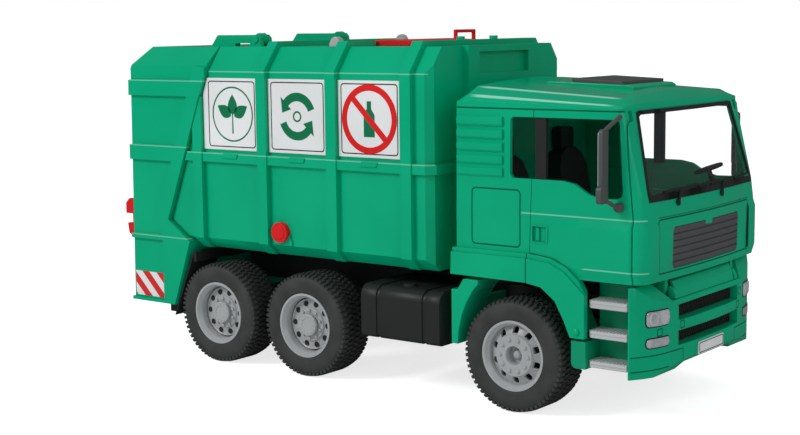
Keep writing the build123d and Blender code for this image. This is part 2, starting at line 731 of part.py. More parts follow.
def side_knobs():
    """Round knob low on each side."""
    return both_sides(cross_rod(KNOB_X, KNOB_Z, KNOB_RADIUS, -PANEL_Y - KNOB_THICKNESS, -PANEL_Y))


def roof_lid():
    """Crowned sliding lid with its staple handle."""
    low = ROOF_Z + LID_LIFT
    edge = low + LID_THICKNESS
    middle = (LID_REAR_X + LID_FRONT_X) / 2
    outline = [
        (LID_REAR_X, low),
        (LID_REAR_X, edge),
        (middle, edge + LID_CROWN),
        (LID_FRONT_X, edge),
        (LID_FRONT_X, low),
    ]
    lid = side_plate(outline, -LID_HALF_WIDTH, LID_HALF_WIDTH)
    half = HANDLE_ROD / 2
    outer = block(HANDLE_X - half, HANDLE_X + half, -HANDLE_HALF_WIDTH, HANDLE_HALF_WIDTH, edge - 1, HANDLE_TOP)
    reach = HANDLE_HALF_WIDTH - HANDLE_ROD
    window = block(HANDLE_X - 3, HANDLE_X + 3, -reach, reach, edge - 2, HANDLE_TOP - HANDLE_ROD)
    return lid + (outer - window)


def tailgate():
    """Hollow tailgate with its loading opening, side bands, edge flange and hinge arms."""
    outer = side_plate(tail_outline(), -TAIL_PANEL_Y, TAIL_PANEL_Y)
    body = outer + both_sides(tail_bands())
    section = [
        (-HALF_WIDTH, 0),
        (-HALF_WIDTH, SHOULDER_Z + 2),
        (-ROOF_EDGE_Y, ROOF_Z),
        (ROOF_EDGE_Y, ROOF_Z),
        (HALF_WIDTH, SHOULDER_Z + 2),
        (HALF_WIDTH, 0),
    ]
    body = body & front_plate(section, TAIL_REAR_X, TAIL_BUMP_X + 40)
    wall = TAIL_WALL
    cavity = [
        (TAIL_FRONT_X + 20, ROOF_Z - wall),
        (TAIL_ROOF_REAR_X + 1, ROOF_Z - wall),
        (TAIL_SHOULDER_X + wall, SHOULDER_Z + 1),
        (TAIL_REAR_X + wall, TAIL_BOTTOM_Z + 26),
        (TAIL_REAR_X + wall + 20, TAIL_BOTTOM_Z + wall),
        (TAIL_LOW_FRONT_X - wall, TAIL_BOTTOM_Z + wall),
        (TAIL_BUMP_X - wall - 1, TAIL_BUMP_Z - wall + 0.5),
        (TAIL_WAIST_X - 2, TAIL_WAIST_Z - wall + 0.5),
        (TAIL_WAIST_X + 1, TAIL_WAIST_Z + 4),
        (TAIL_FRONT_X + 20, TAIL_BREAK_Z),
    ]
    inner_y = TAIL_PANEL_Y - wall
    hollow = side_plate(cavity, -inner_y, inner_y)
    roof_y = ROOF_EDGE_Y - wall
    inner_section = [
        (-inner_y, 0),
        (-inner_y, SHOULDER_Z),
        (-roof_y, ROOF_Z - wall),
        (roof_y, ROOF_Z - wall),
        (inner_y, SHOULDER_Z),
        (inner_y, 0),
    ]
    hollow = hollow & front_plate(inner_section, TAIL_REAR_X - 1, TAIL_FRONT_X + 30)
    body -= hollow
    body -= block(TAIL_REAR_X - 5, TAIL_REAR_X + 12, -HOPPER_HALF_WIDTH, HOPPER_HALF_WIDTH, HOPPER_LOW, HOPPER_HIGH)
    return body + both_sides(tail_arm()) + both_sides(lift_bracket())


# Columns: lower and upper limit of the raised bands on the tailgate's sides
TAIL_BANDS = ((TAIL_BOTTOM_Z, 44.5), (94.0, 97.5), (159.4, 171.6), (212.0, 224.6))


def tail_bands():
    """Raised bands and the flange along the front edge on the right side."""
    flange = [
        (TAIL_FRONT_X, TAIL_BREAK_Z + 6),
        (TAIL_FRONT_X - 12, TAIL_BREAK_Z + 6),
        (TAIL_WAIST_X - 12, TAIL_WAIST_Z),
        (TAIL_LOW_FRONT_X - 12, TAIL_BUMP_Z),
        (TAIL_LOW_FRONT_X - 12, TAIL_BOTTOM_Z),
        (TAIL_LOW_FRONT_X, TAIL_BOTTOM_Z),
        (TAIL_BUMP_X, TAIL_BUMP_Z),
        (TAIL_WAIST_X, TAIL_WAIST_Z),
        (TAIL_FRONT_X, TAIL_BREAK_Z),
    ]
    raised = side_plate(flange, -HALF_WIDTH, -TAIL_PANEL_Y)
    limits = side_plate(tail_outline(), -HALF_WIDTH, -TAIL_PANEL_Y)
    for low, high in TAIL_BANDS:
        raised += limits & block(TAIL_REAR_X, TAIL_FRONT_X, -HALF_WIDTH, -TAIL_PANEL_Y, low, high)
    return raised


def tail_arm():
    """Right-hand hinge arm on the tailgate's roof."""
    top = TAIL_PIVOT_Z + 3.3
    outline = [
        (TAIL_ARM_REAR_X, ROOF_Z - 1),
        (TAIL_ARM_REAR_X + 8, top),
        (TAIL_PIVOT_X, top),
        (TAIL_PIVOT_X, TAIL_PIVOT_Z - 3.3),
        (TAIL_FRONT_X - 3, TAIL_PIVOT_Z - 3.3),
        (TAIL_FRONT_X - 3, ROOF_Z - 1),
    ]
    y_low = -TAIL_ARM_Y - TAIL_ARM_WIDTH / 2
    y_high = -TAIL_ARM_Y + TAIL_ARM_WIDTH / 2
    arm = side_plate(outline, y_low, y_high)
    arm += cross_rod(TAIL_PIVOT_X, TAIL_PIVOT_Z, TAIL_KNUCKLE_RADIUS, y_low, y_high)
    return arm - cross_rod(TAIL_PIVOT_X, TAIL_PIVOT_Z, PIN_RADIUS + TURN_GAP, y_low - 1, y_high + 1)


def lift_bracket():
    """Right-hand lug on the tailgate's rear face with the pin of the bin lift."""
    inner = LIFT_ARM_Y - LIFT_ARM_WIDTH / 2 - 0.4
    outline = [
        (TAIL_REAR_X + 4, LIFT_PIVOT_Z - 6.5),
        (LIFT_PIVOT_X - 1, LIFT_PIVOT_Z - 3.2),
        (LIFT_PIVOT_X - 3.2, LIFT_PIVOT_Z - 1.5),
        (LIFT_PIVOT_X - 3.2, LIFT_PIVOT_Z + 1.5),
        (LIFT_PIVOT_X - 1, LIFT_PIVOT_Z + 3.2),
        (TAIL_REAR_X + 4, LIFT_PIVOT_Z + 6.5),
    ]
    lug = side_plate(outline, -inner, -inner + 4)
    return lug + cross_rod(LIFT_PIVOT_X, LIFT_PIVOT_Z, PIN_RADIUS, -LIFT_ARM_Y - LIFT_ARM_WIDTH / 2, -inner)


def underrun_bar():
    """Dark bar under the tailgate."""
    return block(UNDERRUN_X - 7, UNDERRUN_X + 7, -UNDERRUN_Y, UNDERRUN_Y, UNDERRUN_BOTTOM, TAIL_BOTTOM_Z)


def bin_lift():
    """Two forked arms joined by a comb bar with upright teeth."""
    fork = [
        (LIFT_PIVOT_X + 4, LIFT_PIVOT_Z - 4.5),
        (LIFT_PIVOT_X + 4, LIFT_PIVOT_Z + 4.5),
        (LIFT_TIP_X + 4, LIFT_TOP),
        (LIFT_TIP_X, LIFT_TOP - 4),
        (LIFT_TIP_X, LIFT_NOTCH_HIGH),
        (LIFT_TIP_X + 8, LIFT_NOTCH_HIGH),
        (LIFT_TIP_X + 8, LIFT_NOTCH_LOW),
        (LIFT_TIP_X + 1.5, LIFT_NOTCH_LOW),
        (LIFT_TIP_X + 3, LIFT_BOTTOM + 2),
        (LIFT_TIP_X + 7, LIFT_BOTTOM),
        (LIFT_PIVOT_X - 3.5, LIFT_BOTTOM),
    ]
    y_low = -LIFT_ARM_Y - LIFT_ARM_WIDTH / 2
    y_high = -LIFT_ARM_Y + LIFT_ARM_WIDTH / 2
    arm = side_plate(fork, y_low, y_high)
    arm -= cross_rod(LIFT_PIVOT_X, LIFT_PIVOT_Z, PIN_RADIUS + TURN_GAP, y_low - 1, y_high + 1)
    lift = both_sides(arm)
    lift += block(LIFT_PIVOT_X - 9.5, LIFT_PIVOT_X - 4.6, y_high, -y_high, LIFT_NOTCH_HIGH, LIFT_TOP - 3)
    return lift + block(LIFT_PIVOT_X - 9.5, LIFT_PIVOT_X - 4.6, y_high, -y_high, LIFT_BOTTOM, LIFT_BOTTOM + 5)


# Cab sections. Columns: height, half width, where the side ends, corner end x and y, middle x
CAB_SECTIONS = (
    (CAB_BOTTOM, CAB_HALF_WIDTH, 88.5, 97.5, CAB_HALF_WIDTH - 9.5, 101.0),
    (139.0, CAB_HALF_WIDTH, 88.5, 98.0, CAB_HALF_WIDTH - 9.5, 102.0),
    (153.0, CAB_HALF_WIDTH - 0.3, 86.5, 96.5, CAB_HALF_WIDTH - 10.5, 100.5),
    (CAB_SPLIT_Z, CAB_HALF_WIDTH - 1.0, 76.0, 82.0, CAB_HALF_WIDTH - 7.5, 84.5),
)
# Levels of the raised band at the front corners. Columns: height, share of its depth
BAND_LEVELS = ((CAB_BOTTOM, -0.2), (105.0, 1.0), (133.0, 1.0), (139.4, -0.2))
# Places across the roof of the height columns in the next table
ROOF_PLACES = (
    CAB_HALF_WIDTH - 0.9,
    CAB_HALF_WIDTH - 1.0,
    CAB_HALF_WIDTH - 4.0,
    CAB_HALF_WIDTH - 16.0,
    CAB_HALF_WIDTH - 47.5,
    0.0,
)
# Roof sections. Columns: place along the truck, then the height at each place across
ROOF_SECTIONS = (
    (CAB_REAR_X, CAB_SPLIT_Z, 213.5, 214.5, 216.0, 217.0, 218.0),
    (CAB_REAR_X + 8, CAB_SPLIT_Z, 214.6, 218.8, 224.0, 226.0, 227.6),
    (74.5, CAB_SPLIT_Z, 211.6, 213.5, 217.5, 219.5, 221.0),
    (88.0, CAB_SPLIT_Z, 210.2, 210.5, 211.2, 211.6, 212.0),
)
# Hollow in the roof cap, as (x, z) seen from the side
ROOF_HOLLOW = ((-36, CAB_SPLIT_Z - 1), (-36, 219), (56, 213.5), (56, CAB_SPLIT_Z - 1))
# Wheel arch opening, as (x, z) from its front foot
ARCH_OUTLINE = ((46.0, 58.5), (41.3, 69.3), (34.2, 82.0), (23.3, 90.3), (11.2, 92.3))


def cab_section(z, half, side_x, corner_x, corner_y, middle_x, rear_x=CAB_REAR_X, inset=0.0):
    """Cab outline seen from above at one height, moved inward by one distance."""
    rear = rear_x + inset
    y = half - inset
    side = side_x - inset * 0.4
    cx = corner_x - inset
    cy = corner_y - inset * 0.6
    right = Line((rear, -y), (side, -y))
    right_corner = TangentArc((side, -y), (cx, -cy), tangent=(1, 0))
    nose = ThreePointArc((cx, -cy), (middle_x - inset, 0), (cx, cy))
    left_corner = TangentArc((side, y), (cx, cy), tangent=(1, 0))
    left = Line((side, y), (rear, y))
    back = Line((rear, y), (rear, -y))
    pieces = (right, right_corner, nose, left_corner, left, back)
    return Pos(0, 0, z) * make_face(Wire([edge for piece in pieces for edge in piece.edges()]))


def cab_volume(inset=0.0, drop=0.0):
    """Volume of the cab below the roof split, moved inward by one distance."""
    faces = []
    for index, (z, *rest) in enumerate(CAB_SECTIONS):
        height = z + inset if index == 0 else z
        height += drop if index == len(CAB_SECTIONS) - 1 else 0
        faces.append(cab_section(height, *rest, inset=inset))
    return loft(faces, ruled=True)


def band_section(z, share):
    """Plan outline of the raised band at the right front, at one share of its depth."""
    half = CAB_HALF_WIDTH + BAND_SIDE_DEPTH * share
    front = BAND_FRONT_DEPTH * share
    base = CAB_HALF_WIDTH - 0.5
    corner = (97.7 + front, -CAB_HALF_WIDTH + 9.5)
    vane = (98.0 + front, -VANE_Y)
    nose = Line((BAND_REAR_X, -base), (BAND_FULL_X, -half))
    side = Line((BAND_FULL_X, -half), (88.5, -half))
    bend = TangentArc((88.5, -half), corner, tangent=(1, 0))
    face = Line(corner, vane)
    back = Polyline(vane, (85.0, -VANE_Y), (85.0, -base + 1), (BAND_REAR_X, -base + 1), (BAND_REAR_X, -base))
    pieces = (nose, side, bend, face, back)
    return Pos(0, 0, z) * make_face(Wire([edge for piece in pieces for edge in piece.edges()]))


def cab_body():
    """Outside volume of the cab with the raised band round its front corners."""
    band = loft([band_section(z, share) for z, share in BAND_LEVELS], ruled=True)
    return cab_volume() + both_sides(band)


def cab_roof():
    """Roof cap above the split line, falling to the front, hollow inside."""
    faces = []
    for x, *heights in ROOF_SECTIONS:
        half = list(zip(ROOF_PLACES, heights))
        outline = [(-y, z) for y, z in half] + [(y, z) for y, z in reversed(half[:-1])]
        plane = Plane(origin=(x, 0, 0), x_dir=(0, 1, 0), z_dir=(1, 0, 0))
        faces.append(plane * make_face(Polyline(*outline, close=True)))
    z, *rest = CAB_SECTIONS[-1]
    cap = loft(faces, ruled=True) & extrude(cab_section(z, *rest), amount=30)
    return cap - side_plate(ROOF_HOLLOW, -ROOF_HOLLOW_Y, ROOF_HOLLOW_Y)


def roof_hatch():
    """Dark plate on the cab's roof with a level top."""
    slab = block(HATCH_PLATE_REAR_X, HATCH_PLATE_FRONT_X, -HATCH_PLATE_Y, HATCH_PLATE_Y, 215, HATCH_PLATE_TOP)
    return slab - cab_roof() - side_plate(ROOF_HOLLOW, -ROOF_HOLLOW_Y, ROOF_HOLLOW_Y)


def door_outline(gap):
    """Right door seen from the side, grown outward by one gap."""
    return [
        (DOOR_REAR_LOW_X - gap, DOOR_SILL_Z - gap),
        (DOOR_REAR_HIGH_X - gap, CAB_SPLIT_Z + 1),
        (DOOR_FRONT_HIGH_X + gap * 1.6, CAB_SPLIT_Z + 1),
        (DOOR_FRONT_HIGH_X + gap * 1.6, 200.5),
        (DOOR_FRONT_LOW_X + gap * 1.6, 140.0),
        (DOOR_FRONT_LOW_X + gap * 1.6, CAB_BOTTOM - 1),
        (52.0 - gap, CAB_BOTTOM - 1),
        (42.4 - gap, 105.3 - gap),
        (30.3 - gap, 110.4 - gap),
    ]


def door_zone(gap):
    """Region of the right door, which leaves the cab's floor to the shell."""
    inner = -CAB_HALF_WIDTH + CAB_WALL + gap
    zone = side_plate(door_outline(gap), -CAB_HALF_WIDTH - 4, -CAB_HALF_WIDTH + 8 + gap * 8)
    zone -= block(CAB_REAR_X, FRONT_OVERHANG, inner, 0, CAB_BOTTOM - 2, CAB_BOTTOM + CAB_WALL + 0.5)
    return zone + Pos(DOOR_AXIS_X, -DOOR_AXIS_Y, CAB_BOTTOM + 1) * Cylinder(DOOR_EDGE_RADIUS + gap, 8)


WINDOW_OUTLINE = (
    (-3.6, 202.4),
    (-1.6, 204.2),
    (77.6, 204.2),
    (79.8, 202.2),
    (83.0, 157.0),
    (82.0, 154.4),
    (78.2, 152.7),
    (66.0, 152.4),
    (57.4, 154.7),
    (46.8, 161.0),
    (37.1, 162.7),
    (-1.5, 162.7),
    (-3.8, 165.5),
)


def windscreen_zone():
    """Region of the windscreen seen from the front, with its corners cut off."""
    low = [(WINDSCREEN_LOW_Y - 4, WINDSCREEN_LOW), (WINDSCREEN_LOW_Y, WINDSCREEN_LOW + 4)]
    high = [(WINDSCREEN_HIGH_Y + 0.4, WINDSCREEN_HIGH - 2.5), (WINDSCREEN_HIGH_Y - 2, WINDSCREEN_HIGH)]
    half = low + high
    return front_plate(half + [(-y, z) for y, z in reversed(half)], 60, 120)


def cab_skin():
    """Walls of the cab, all round."""
    return cab_body() - cab_volume(inset=CAB_WALL, drop=1.0)


def arch_points(grow):
    """Outline (x, z) of the wheel arch from its front foot, moved away from the wheel by one distance."""
    points = []
    for x, z in ARCH_OUTLINE:
        share = 1 + grow / (x**2 + (z - AXLE_Z) ** 2) ** 0.5
        points.append((x * share, AXLE_Z + (z - AXLE_Z) * share))
    return points


def flare():
    """Right wheel arch: the skirt with its ridge and leg, and the liner over the wheel."""
    arch = arch_points(0)
    foot = [(FLARE_FRONT_X, 88.0), (FLARE_FRONT_X, FLARE_BOTTOM)]
    top = [
        (CAB_REAR_X - 3, 93.0),
        (CAB_REAR_X - 2, DOOR_SILL_Z - DOOR_GAP),
        (DOOR_REAR_LOW_X, DOOR_SILL_Z - DOOR_GAP),
        (30.3, 110.4 - DOOR_GAP),
        (42.4, 105.3 - DOOR_GAP),
        (51.8, 97.0 - DOOR_GAP),
    ]
    ridge = [(CAB_REAR_X - 3, 93.0), (CAB_REAR_X - 2.5, 109.0), (11.0, 109.0), (29.4, 107.2)]
    ridge += [(40.8, 102.2), (49.7, 94.4)]
    skirt = side_plate(top + foot + arch, -HALF_WIDTH + FLARE_STEP, -CAB_HALF_WIDTH + CAB_WALL)
    raised = side_plate(ridge + foot + arch, -HALF_WIDTH, -HALF_WIDTH + FLARE_STEP)
    leg = skirt + raised
    corner = leg.edges().filter_by(Axis.Z).sort_by(Axis.Y)[:4].sort_by(Axis.X)[-1:]
    leg = fillet(corner, 3.0)
    liner = arch + [(CAB_REAR_X, 92.3), (CAB_REAR_X, CAB_BOTTOM + 1), (24.0, CAB_BOTTOM + 1)]
    liner += list(reversed(arch_points(LINER_WALL)[:3]))
    return leg + side_plate(liner, -CAB_HALF_WIDTH + CAB_WALL, -LINER_INNER_Y)


def cab_shell():
    """Cab walls and floor with door, window and windscreen openings, flares, bearings and tilt lugs."""
    skin = cab_skin()
    window = side_plate(WINDOW_OUTLINE, -CAB_HALF_WIDTH - 4, -CAB_HALF_WIDTH + 10)
    skin -= both_sides(window + door_zone(DOOR_GAP))
    skin -= windscreen_zone()
    skin -= grille_recess()
    skin -= hatch_seam()
    skin += both_sides(flare())
    for z in LOUVRE_TOPS:
        skin += both_sides(louvre(z))
    for z in BEARING_HEIGHTS:
        skin += both_sides(door_bearing(z))
    return skin + both_sides(cab_lug())


def hatch_seam():
    """Groove over the hatch in the cab's front."""
    strip = block(90, 110, -VANE_Y, VANE_Y, HATCH_SEAM_Z, HATCH_SEAM_Z + 0.7)
    return strip - cab_volume(inset=0.8)


def door_bearing(z):
    """Hidden arm with a pin, one of two that the right door turns on."""
    near = -DOOR_AXIS_Y
    arm = Pos(DOOR_AXIS_X, near, z + 1.5) * Cylinder(1.2, 3.0)
    arm += block(DOOR_AXIS_X - 1.2, DOOR_AXIS_X + 1.2, near, near + 6.1, z, z + 3)
    arm += block(DOOR_AXIS_X - 1.2, 95.2, near + 3.1, near + 6.1, z, z + 3)
    return arm + Pos(DOOR_AXIS_X, near, z + 1.5) * Cylinder(BEARING_PIN, 7.4)


def bearing_room(z):
    """Slot and bore in the right door for one bearing."""
    near = -DOOR_AXIS_Y
    slot = block(DOOR_AXIS_X - 2.3, DOOR_AXIS_X + 4.2, near - 1.3, near + 2.6, z - 0.4, z + 3.4)
    return slot + Pos(DOOR_AXIS_X, near, z + 1.5) * Cylinder(BEARING_PIN + TURN_GAP, 8.0)


LOUVRE_TOPS = (169.4, 177.8, 186.6, 195.4, 204.2)


def louvre(z):
    """One raised half-round louvre on the right side behind the window, from its top height."""
    y = -CAB_HALF_WIDTH
    outline = [(y + 2.5, z), (y + 0.4, z), (y - 0.9, z - 1.2), (y - 1.1, z - 3), (y - 0.9, z - 5.5)]
    outline += [(y + 0.4, z - 7.2), (y + 2.5, z - 7.2)]
    return front_plate(outline, CAB_REAR_X + 1, -9.5)


def grille_zone(gap):
    """Region of the grille insert with rounded corners and a notch in its top edge."""
    zone = block(95, 110, -GRILLE_Y + gap, GRILLE_Y - gap, GRILLE_LOW + gap, GRILLE_HIGH - gap)
    zone = fillet(zone.edges().filter_by(Axis.X), 3.0 - gap)
    return zone - block(94, 111, -5 - gap, 5 + gap, GRILLE_HIGH - 3 - gap, GRILLE_HIGH + 1)


def cab_lug():
    """Right lug under the cab's front edge with the eye it tilts about."""
    y_low = -CAB_LUG_Y - CAB_LUG_WIDTH / 2
    y_high = -CAB_LUG_Y + CAB_LUG_WIDTH / 2
    web = block(CAB_PIVOT_X - CAB_LUG_RADIUS, CAB_PIVOT_X + CAB_LUG_RADIUS, y_low, y_high, CAB_PIVOT_Z, CAB_BOTTOM + 1)
    eye = cross_rod(CAB_PIVOT_X, CAB_PIVOT_Z, CAB_LUG_RADIUS, y_low, y_high)
    return web + eye - cross_rod(CAB_PIVOT_X, CAB_PIVOT_Z, PIN_RADIUS + TURN_GAP, y_low - 1, y_high + 1)


def grille_recess():
    """Shallow recess in the cab's front for the grille insert."""
    return grille_zone(0) - cab_volume(inset=GRILLE_DEPTH)


def grille():
    """Dark grille insert with level ribs."""
    zone = grille_zone(SEAT_GAP)
    insert = (cab_volume(inset=0.8) - cab_volume(inset=GRILLE_DEPTH)) & zone
    skin = (cab_volume() - cab_volume(inset=0.9)) & zone
    pitch = (GRILLE_HIGH - GRILLE_LOW) / GRILLE_RIBS
    for index in range(GRILLE_RIBS):
        low = GRILLE_LOW + pitch * index + 0.4
        insert += skin & block(90, 110, -GRILLE_Y, GRILLE_Y, low, low + pitch * 0.8)
    return insert


def windscreen():
    """Clear pane in the cab's front."""
    return (cab_volume(inset=0.4) - cab_volume(inset=0.4 + GLASS_THICKNESS)) & windscreen_zone()


def door():
    """Right door with a round front edge, the front part of the side window and the handle recess."""
    leaf = cab_skin() & door_zone(0)
    leaf -= side_plate(WINDOW_OUTLINE, -CAB_HALF_WIDTH - 4, -CAB_HALF_WIDTH + 10)
    edge = Pos(DOOR_AXIS_X, -DOOR_AXIS_Y, (CAB_BOTTOM + CAB_SPLIT_Z) / 2) * Cylinder(DOOR_EDGE_RADIUS, 120)
    leaf -= block(DOOR_AXIS_X, FRONT_OVERHANG, -HALF_WIDTH, 0, CAB_BOTTOM - 1, CAB_SPLIT_Z + 1) - edge
    for z in BEARING_HEIGHTS:
        leaf -= bearing_room(z)
    low_x = DOOR_REAR_LOW_X + 2.1
    leaf -= block(low_x, low_x + 11, -HALF_WIDTH, -CAB_HALF_WIDTH + 1.5, 120.5, 131)
    leaf += block(low_x + 3, low_x + 5, -CAB_HALF_WIDTH, -CAB_HALF_WIDTH + 2, 121.5, 130)
    return leaf - door_post()


def door_post():
    """Dark post at the rear edge of the right door's window."""
    low_x = DOOR_REAR_HIGH_X + 0.2
    return block(low_x, low_x + POST_WIDTH, -CAB_HALF_WIDTH + 1.8, -CAB_HALF_WIDTH + CAB_WALL + 2, 160, 206.5)


def door_mirror():
    """Right mirror: a foot and a bracket on the door with its tall housing."""
    near = -CAB_HALF_WIDTH + 2
    foot = cross_rod(MIRROR_X + 4, 147.8, 3.0, -CAB_HALF_WIDTH - 2.5, near)
    arm = block(MIRROR_X - 3, MIRROR_X + 5, -MIRROR_Y, -CAB_HALF_WIDTH - 0.5, 146.5, 149.5)
    arm += block(MIRROR_X - 3, MIRROR_X, -MIRROR_Y, -MIRROR_Y + 4, 146.5, 152)
    top = block(MIRROR_X - 3, MIRROR_X, -MIRROR_Y, near + 2, 203.0, 206.0)
    housing = block(MIRROR_X - 5, MIRROR_X + 1, -MIRROR_Y - 6, -MIRROR_Y + 6, 161, 204)
    housing = fillet(housing.edges().filter_by(Axis.X), 2.5)
    lower = block(MIRROR_X - 4, MIRROR_X + 1, -MIRROR_Y - 5, -MIRROR_Y + 6, 150, 161.5)
    return foot + arm + top + housing + lower - cab_body()


def dashboard():
    """Dashboard between the doors."""
    low = CAB_BOTTOM + CAB_WALL
    outline = [(60, low), (62, 145), (74, 150), (84, 148), (92, 140), (92, low)]
    return side_plate(outline, -DASHBOARD_Y, DASHBOARD_Y)


def steering_wheel():
    """Steering wheel with its column on the left side."""
    ring = Torus(9.6, 1.4)
    spokes = Box(18.4, 3, 1.8) + Box(3, 18.4, 1.8)
    column = Pos(0, 0, -9) * Cylinder(1.8, 20)
    wheel = Pos(72, 60, 160) * Rot(0, -22, 0) * (ring + spokes + column)
    return wheel - dashboard()


def seats():
    """Two seats with rounded backs and head rests."""
    base = block(-28, 12, -62, -22, CAB_BOTTOM + CAB_WALL, 132)
    back = side_plate([(-40, 122), (-24, 122), (-33, 173), (-44, 173)], -62, -22)
    shape = [(-62, 120), (-62, 158), (-57, 168), (-48, 173), (-36, 173), (-27, 168), (-22, 158), (-22, 120)]
    head = block(-44, -36, -51, -33, 172, 188)
    head = fillet(head.edges().filter_by(Axis.X), 3.0)
    return both_sides(base + (back & front_plate(shape, -60, 0)) + head)


def wheel_pair():
    """Tyre and rims at the truck's right side, ready to be placed."""
    return tyre(), rim(True), rim(False)


WHEEL_PLACES = (("front", 0.0), ("middle", AXLE_2_X), ("rear", AXLE_3_X))


def write_wheels():
    """Writes tyre and rim of all six wheels."""
    tyre_solid, front_rim, rear_rim = wheel_pair()
    for name, x in WHEEL_PLACES:
        rim_solid = front_rim if name == "front" else rear_rim
        right = Pos(x, -WHEEL_Y, AXLE_Z)
        for piece, solid in (("tyre", tyre_solid), ("rim", rim_solid)):
            placed(f"{piece}_{name}_right", right * solid)
            placed(f"{piece}_{name}_left", mirrored(right * solid))


def write_sides():
    """Writes the pieces that exist once on each side."""
    for name, solid in (("door", door()), ("door_post", door_post()), ("door_mirror", door_mirror())):
        placed(f"{name}_right", solid)
        placed(f"{name}_left", mirrored(solid))


placed("ladder_frame", ladder_frame())
placed("front_axle", axle(0.0))
placed("rear_axles", axle(AXLE_2_X) + axle(AXLE_3_X))
placed("engine_block", engine())
placed("fuel_tank", tank(True))
placed("side_tank", mirrored(tank(False)))
placed("mudguards", both_sides(mudguard()))
placed("mudflaps", mudflaps())
placed("front_bumper", bumper())
placed("headlamps", headlamps())
placed("bumper_mesh", bumper_mesh())
placed("step_flap", step_flap())
placed("step_wells", both_sides(step_well()))
placed("step_treads", treads())
placed("container", container())
placed("sign_panels", signs())
placed("side_knobs", side_knobs())
placed("roof_lugs", roof_lugs())
placed("roof_lid", roof_lid())
placed("tailgate", tailgate())
placed("underrun_bar", underrun_bar())
placed("bin_lift", bin_lift())
placed("cab_shell", cab_shell())
placed("cab_roof", cab_roof())
placed("roof_hatch", roof_hatch())
placed("windscreen", windscreen())
placed("grille", grille())
placed("dashboard", dashboard())
placed("steering_wheel", steering_wheel())
placed("seats", seats())
write_sides()
write_wheels()
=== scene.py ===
"""Dresses the play refuse truck: moulded finishes, tyres, wheel trim, signs, lamps, small trim and the stage.

Tables give places in millimetres from the front axle's middle, with X forward, Y to the left and Z up from
the ground, and spot() turns them into the scene's metres.
"""

import math

import bmesh
import bpy
from bpy.props import FloatProperty, FloatVectorProperty, IntProperty, PointerProperty
from mathutils import Matrix, Vector


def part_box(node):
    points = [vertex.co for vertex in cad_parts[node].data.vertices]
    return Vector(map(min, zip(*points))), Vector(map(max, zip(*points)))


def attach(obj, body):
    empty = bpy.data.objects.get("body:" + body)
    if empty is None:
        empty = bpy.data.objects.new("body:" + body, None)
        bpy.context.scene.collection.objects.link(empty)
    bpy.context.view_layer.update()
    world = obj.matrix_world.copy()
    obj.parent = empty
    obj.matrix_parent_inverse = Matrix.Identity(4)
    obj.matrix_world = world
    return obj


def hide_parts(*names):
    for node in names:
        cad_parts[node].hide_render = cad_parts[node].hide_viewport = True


bl_info = {
    "name": "Play Refuse Truck",
    "version": (1, 0, 0),
    "blender": (4, 5, 0),
    "location": "3D View > Sidebar > Truck",
    "description": "Builds the finishes and trim of a play refuse truck round its frame",
    "category": "Object",
}

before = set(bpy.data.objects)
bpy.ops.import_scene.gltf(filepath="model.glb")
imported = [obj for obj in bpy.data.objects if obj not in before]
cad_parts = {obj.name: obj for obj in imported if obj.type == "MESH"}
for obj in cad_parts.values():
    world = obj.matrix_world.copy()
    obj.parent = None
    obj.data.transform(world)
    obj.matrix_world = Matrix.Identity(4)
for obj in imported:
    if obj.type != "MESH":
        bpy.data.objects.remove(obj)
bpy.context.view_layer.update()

MM = 0.001
SIDES = (("right", -1), ("left", 1))
WHEELS = [(axle, side) for axle in ("front", "middle", "rear") for side, _ in SIDES]


def middle_of(node):
    """Middle of a frame node's box."""
    low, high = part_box(node)
    return (Vector(low) + Vector(high)) / 2


AXLE_X = middle_of("tyre_front_right").x


def spot(x, y, z):
    """A place in millimetres from the front axle, as a point of the scene."""
    return Vector((AXLE_X + x * MM, y * MM, z * MM))


def forward(x):
    """A place in millimetres ahead of the front axle, as the scene's X."""
    return spot(x, 0, 0).x


# Shader maths


class Value:
    """A number or vector that a shader works out at each point of a surface."""

    def __init__(self, finish, socket):
        self.finish = finish
        self.socket = socket

    def maths(self, operation, *others):
        """Adds a Math node whose first input is this value."""
        inputs = dict(enumerate((self, *others)))
        return self.finish.node("ShaderNodeMath", {"operation": operation}, inputs)

    def __add__(self, other):
        return self.maths("ADD", other)

    __radd__ = __add__

    def __mul__(self, other):
        return self.maths("MULTIPLY", other)

    __rmul__ = __mul__

    def __sub__(self, other):
        return self.maths("SUBTRACT", other)

    def __rsub__(self, other):
        return self.finish.node("ShaderNodeMath", {"operation": "SUBTRACT"}, {0: other, 1: self})

    def __truediv__(self, other):
        return self.maths("DIVIDE", other)

    def __rtruediv__(self, other):
        return self.finish.node("ShaderNodeMath", {"operation": "DIVIDE"}, {0: other, 1: self})

    def __abs__(self):
        return self.maths("ABSOLUTE")

    def least(self, other):
        return self.maths("MINIMUM", other)

    def most(self, other):
        return self.maths("MAXIMUM", other)

    def root(self):
        return self.maths("SQRT")

    def waves(self, pitch):
        """Runs from 0 to 1 and back over each pitch."""
        return self.maths("PINGPONG", pitch / 2) / (pitch / 2)

    def step(self, start, end):
        """Rises smoothly from 0 at start to 1 at end."""
        settings = {"interpolation_type": "SMOOTHSTEP"}
        inputs = {"Value": self, "From Min": start, "From Max": end}
        if start > end:
            inputs = {"Value": self, "From Min": end, "From Max": start, "To Min": 1.0, "To Max": 0.0}
        return self.finish.node("ShaderNodeMapRange", settings, inputs)


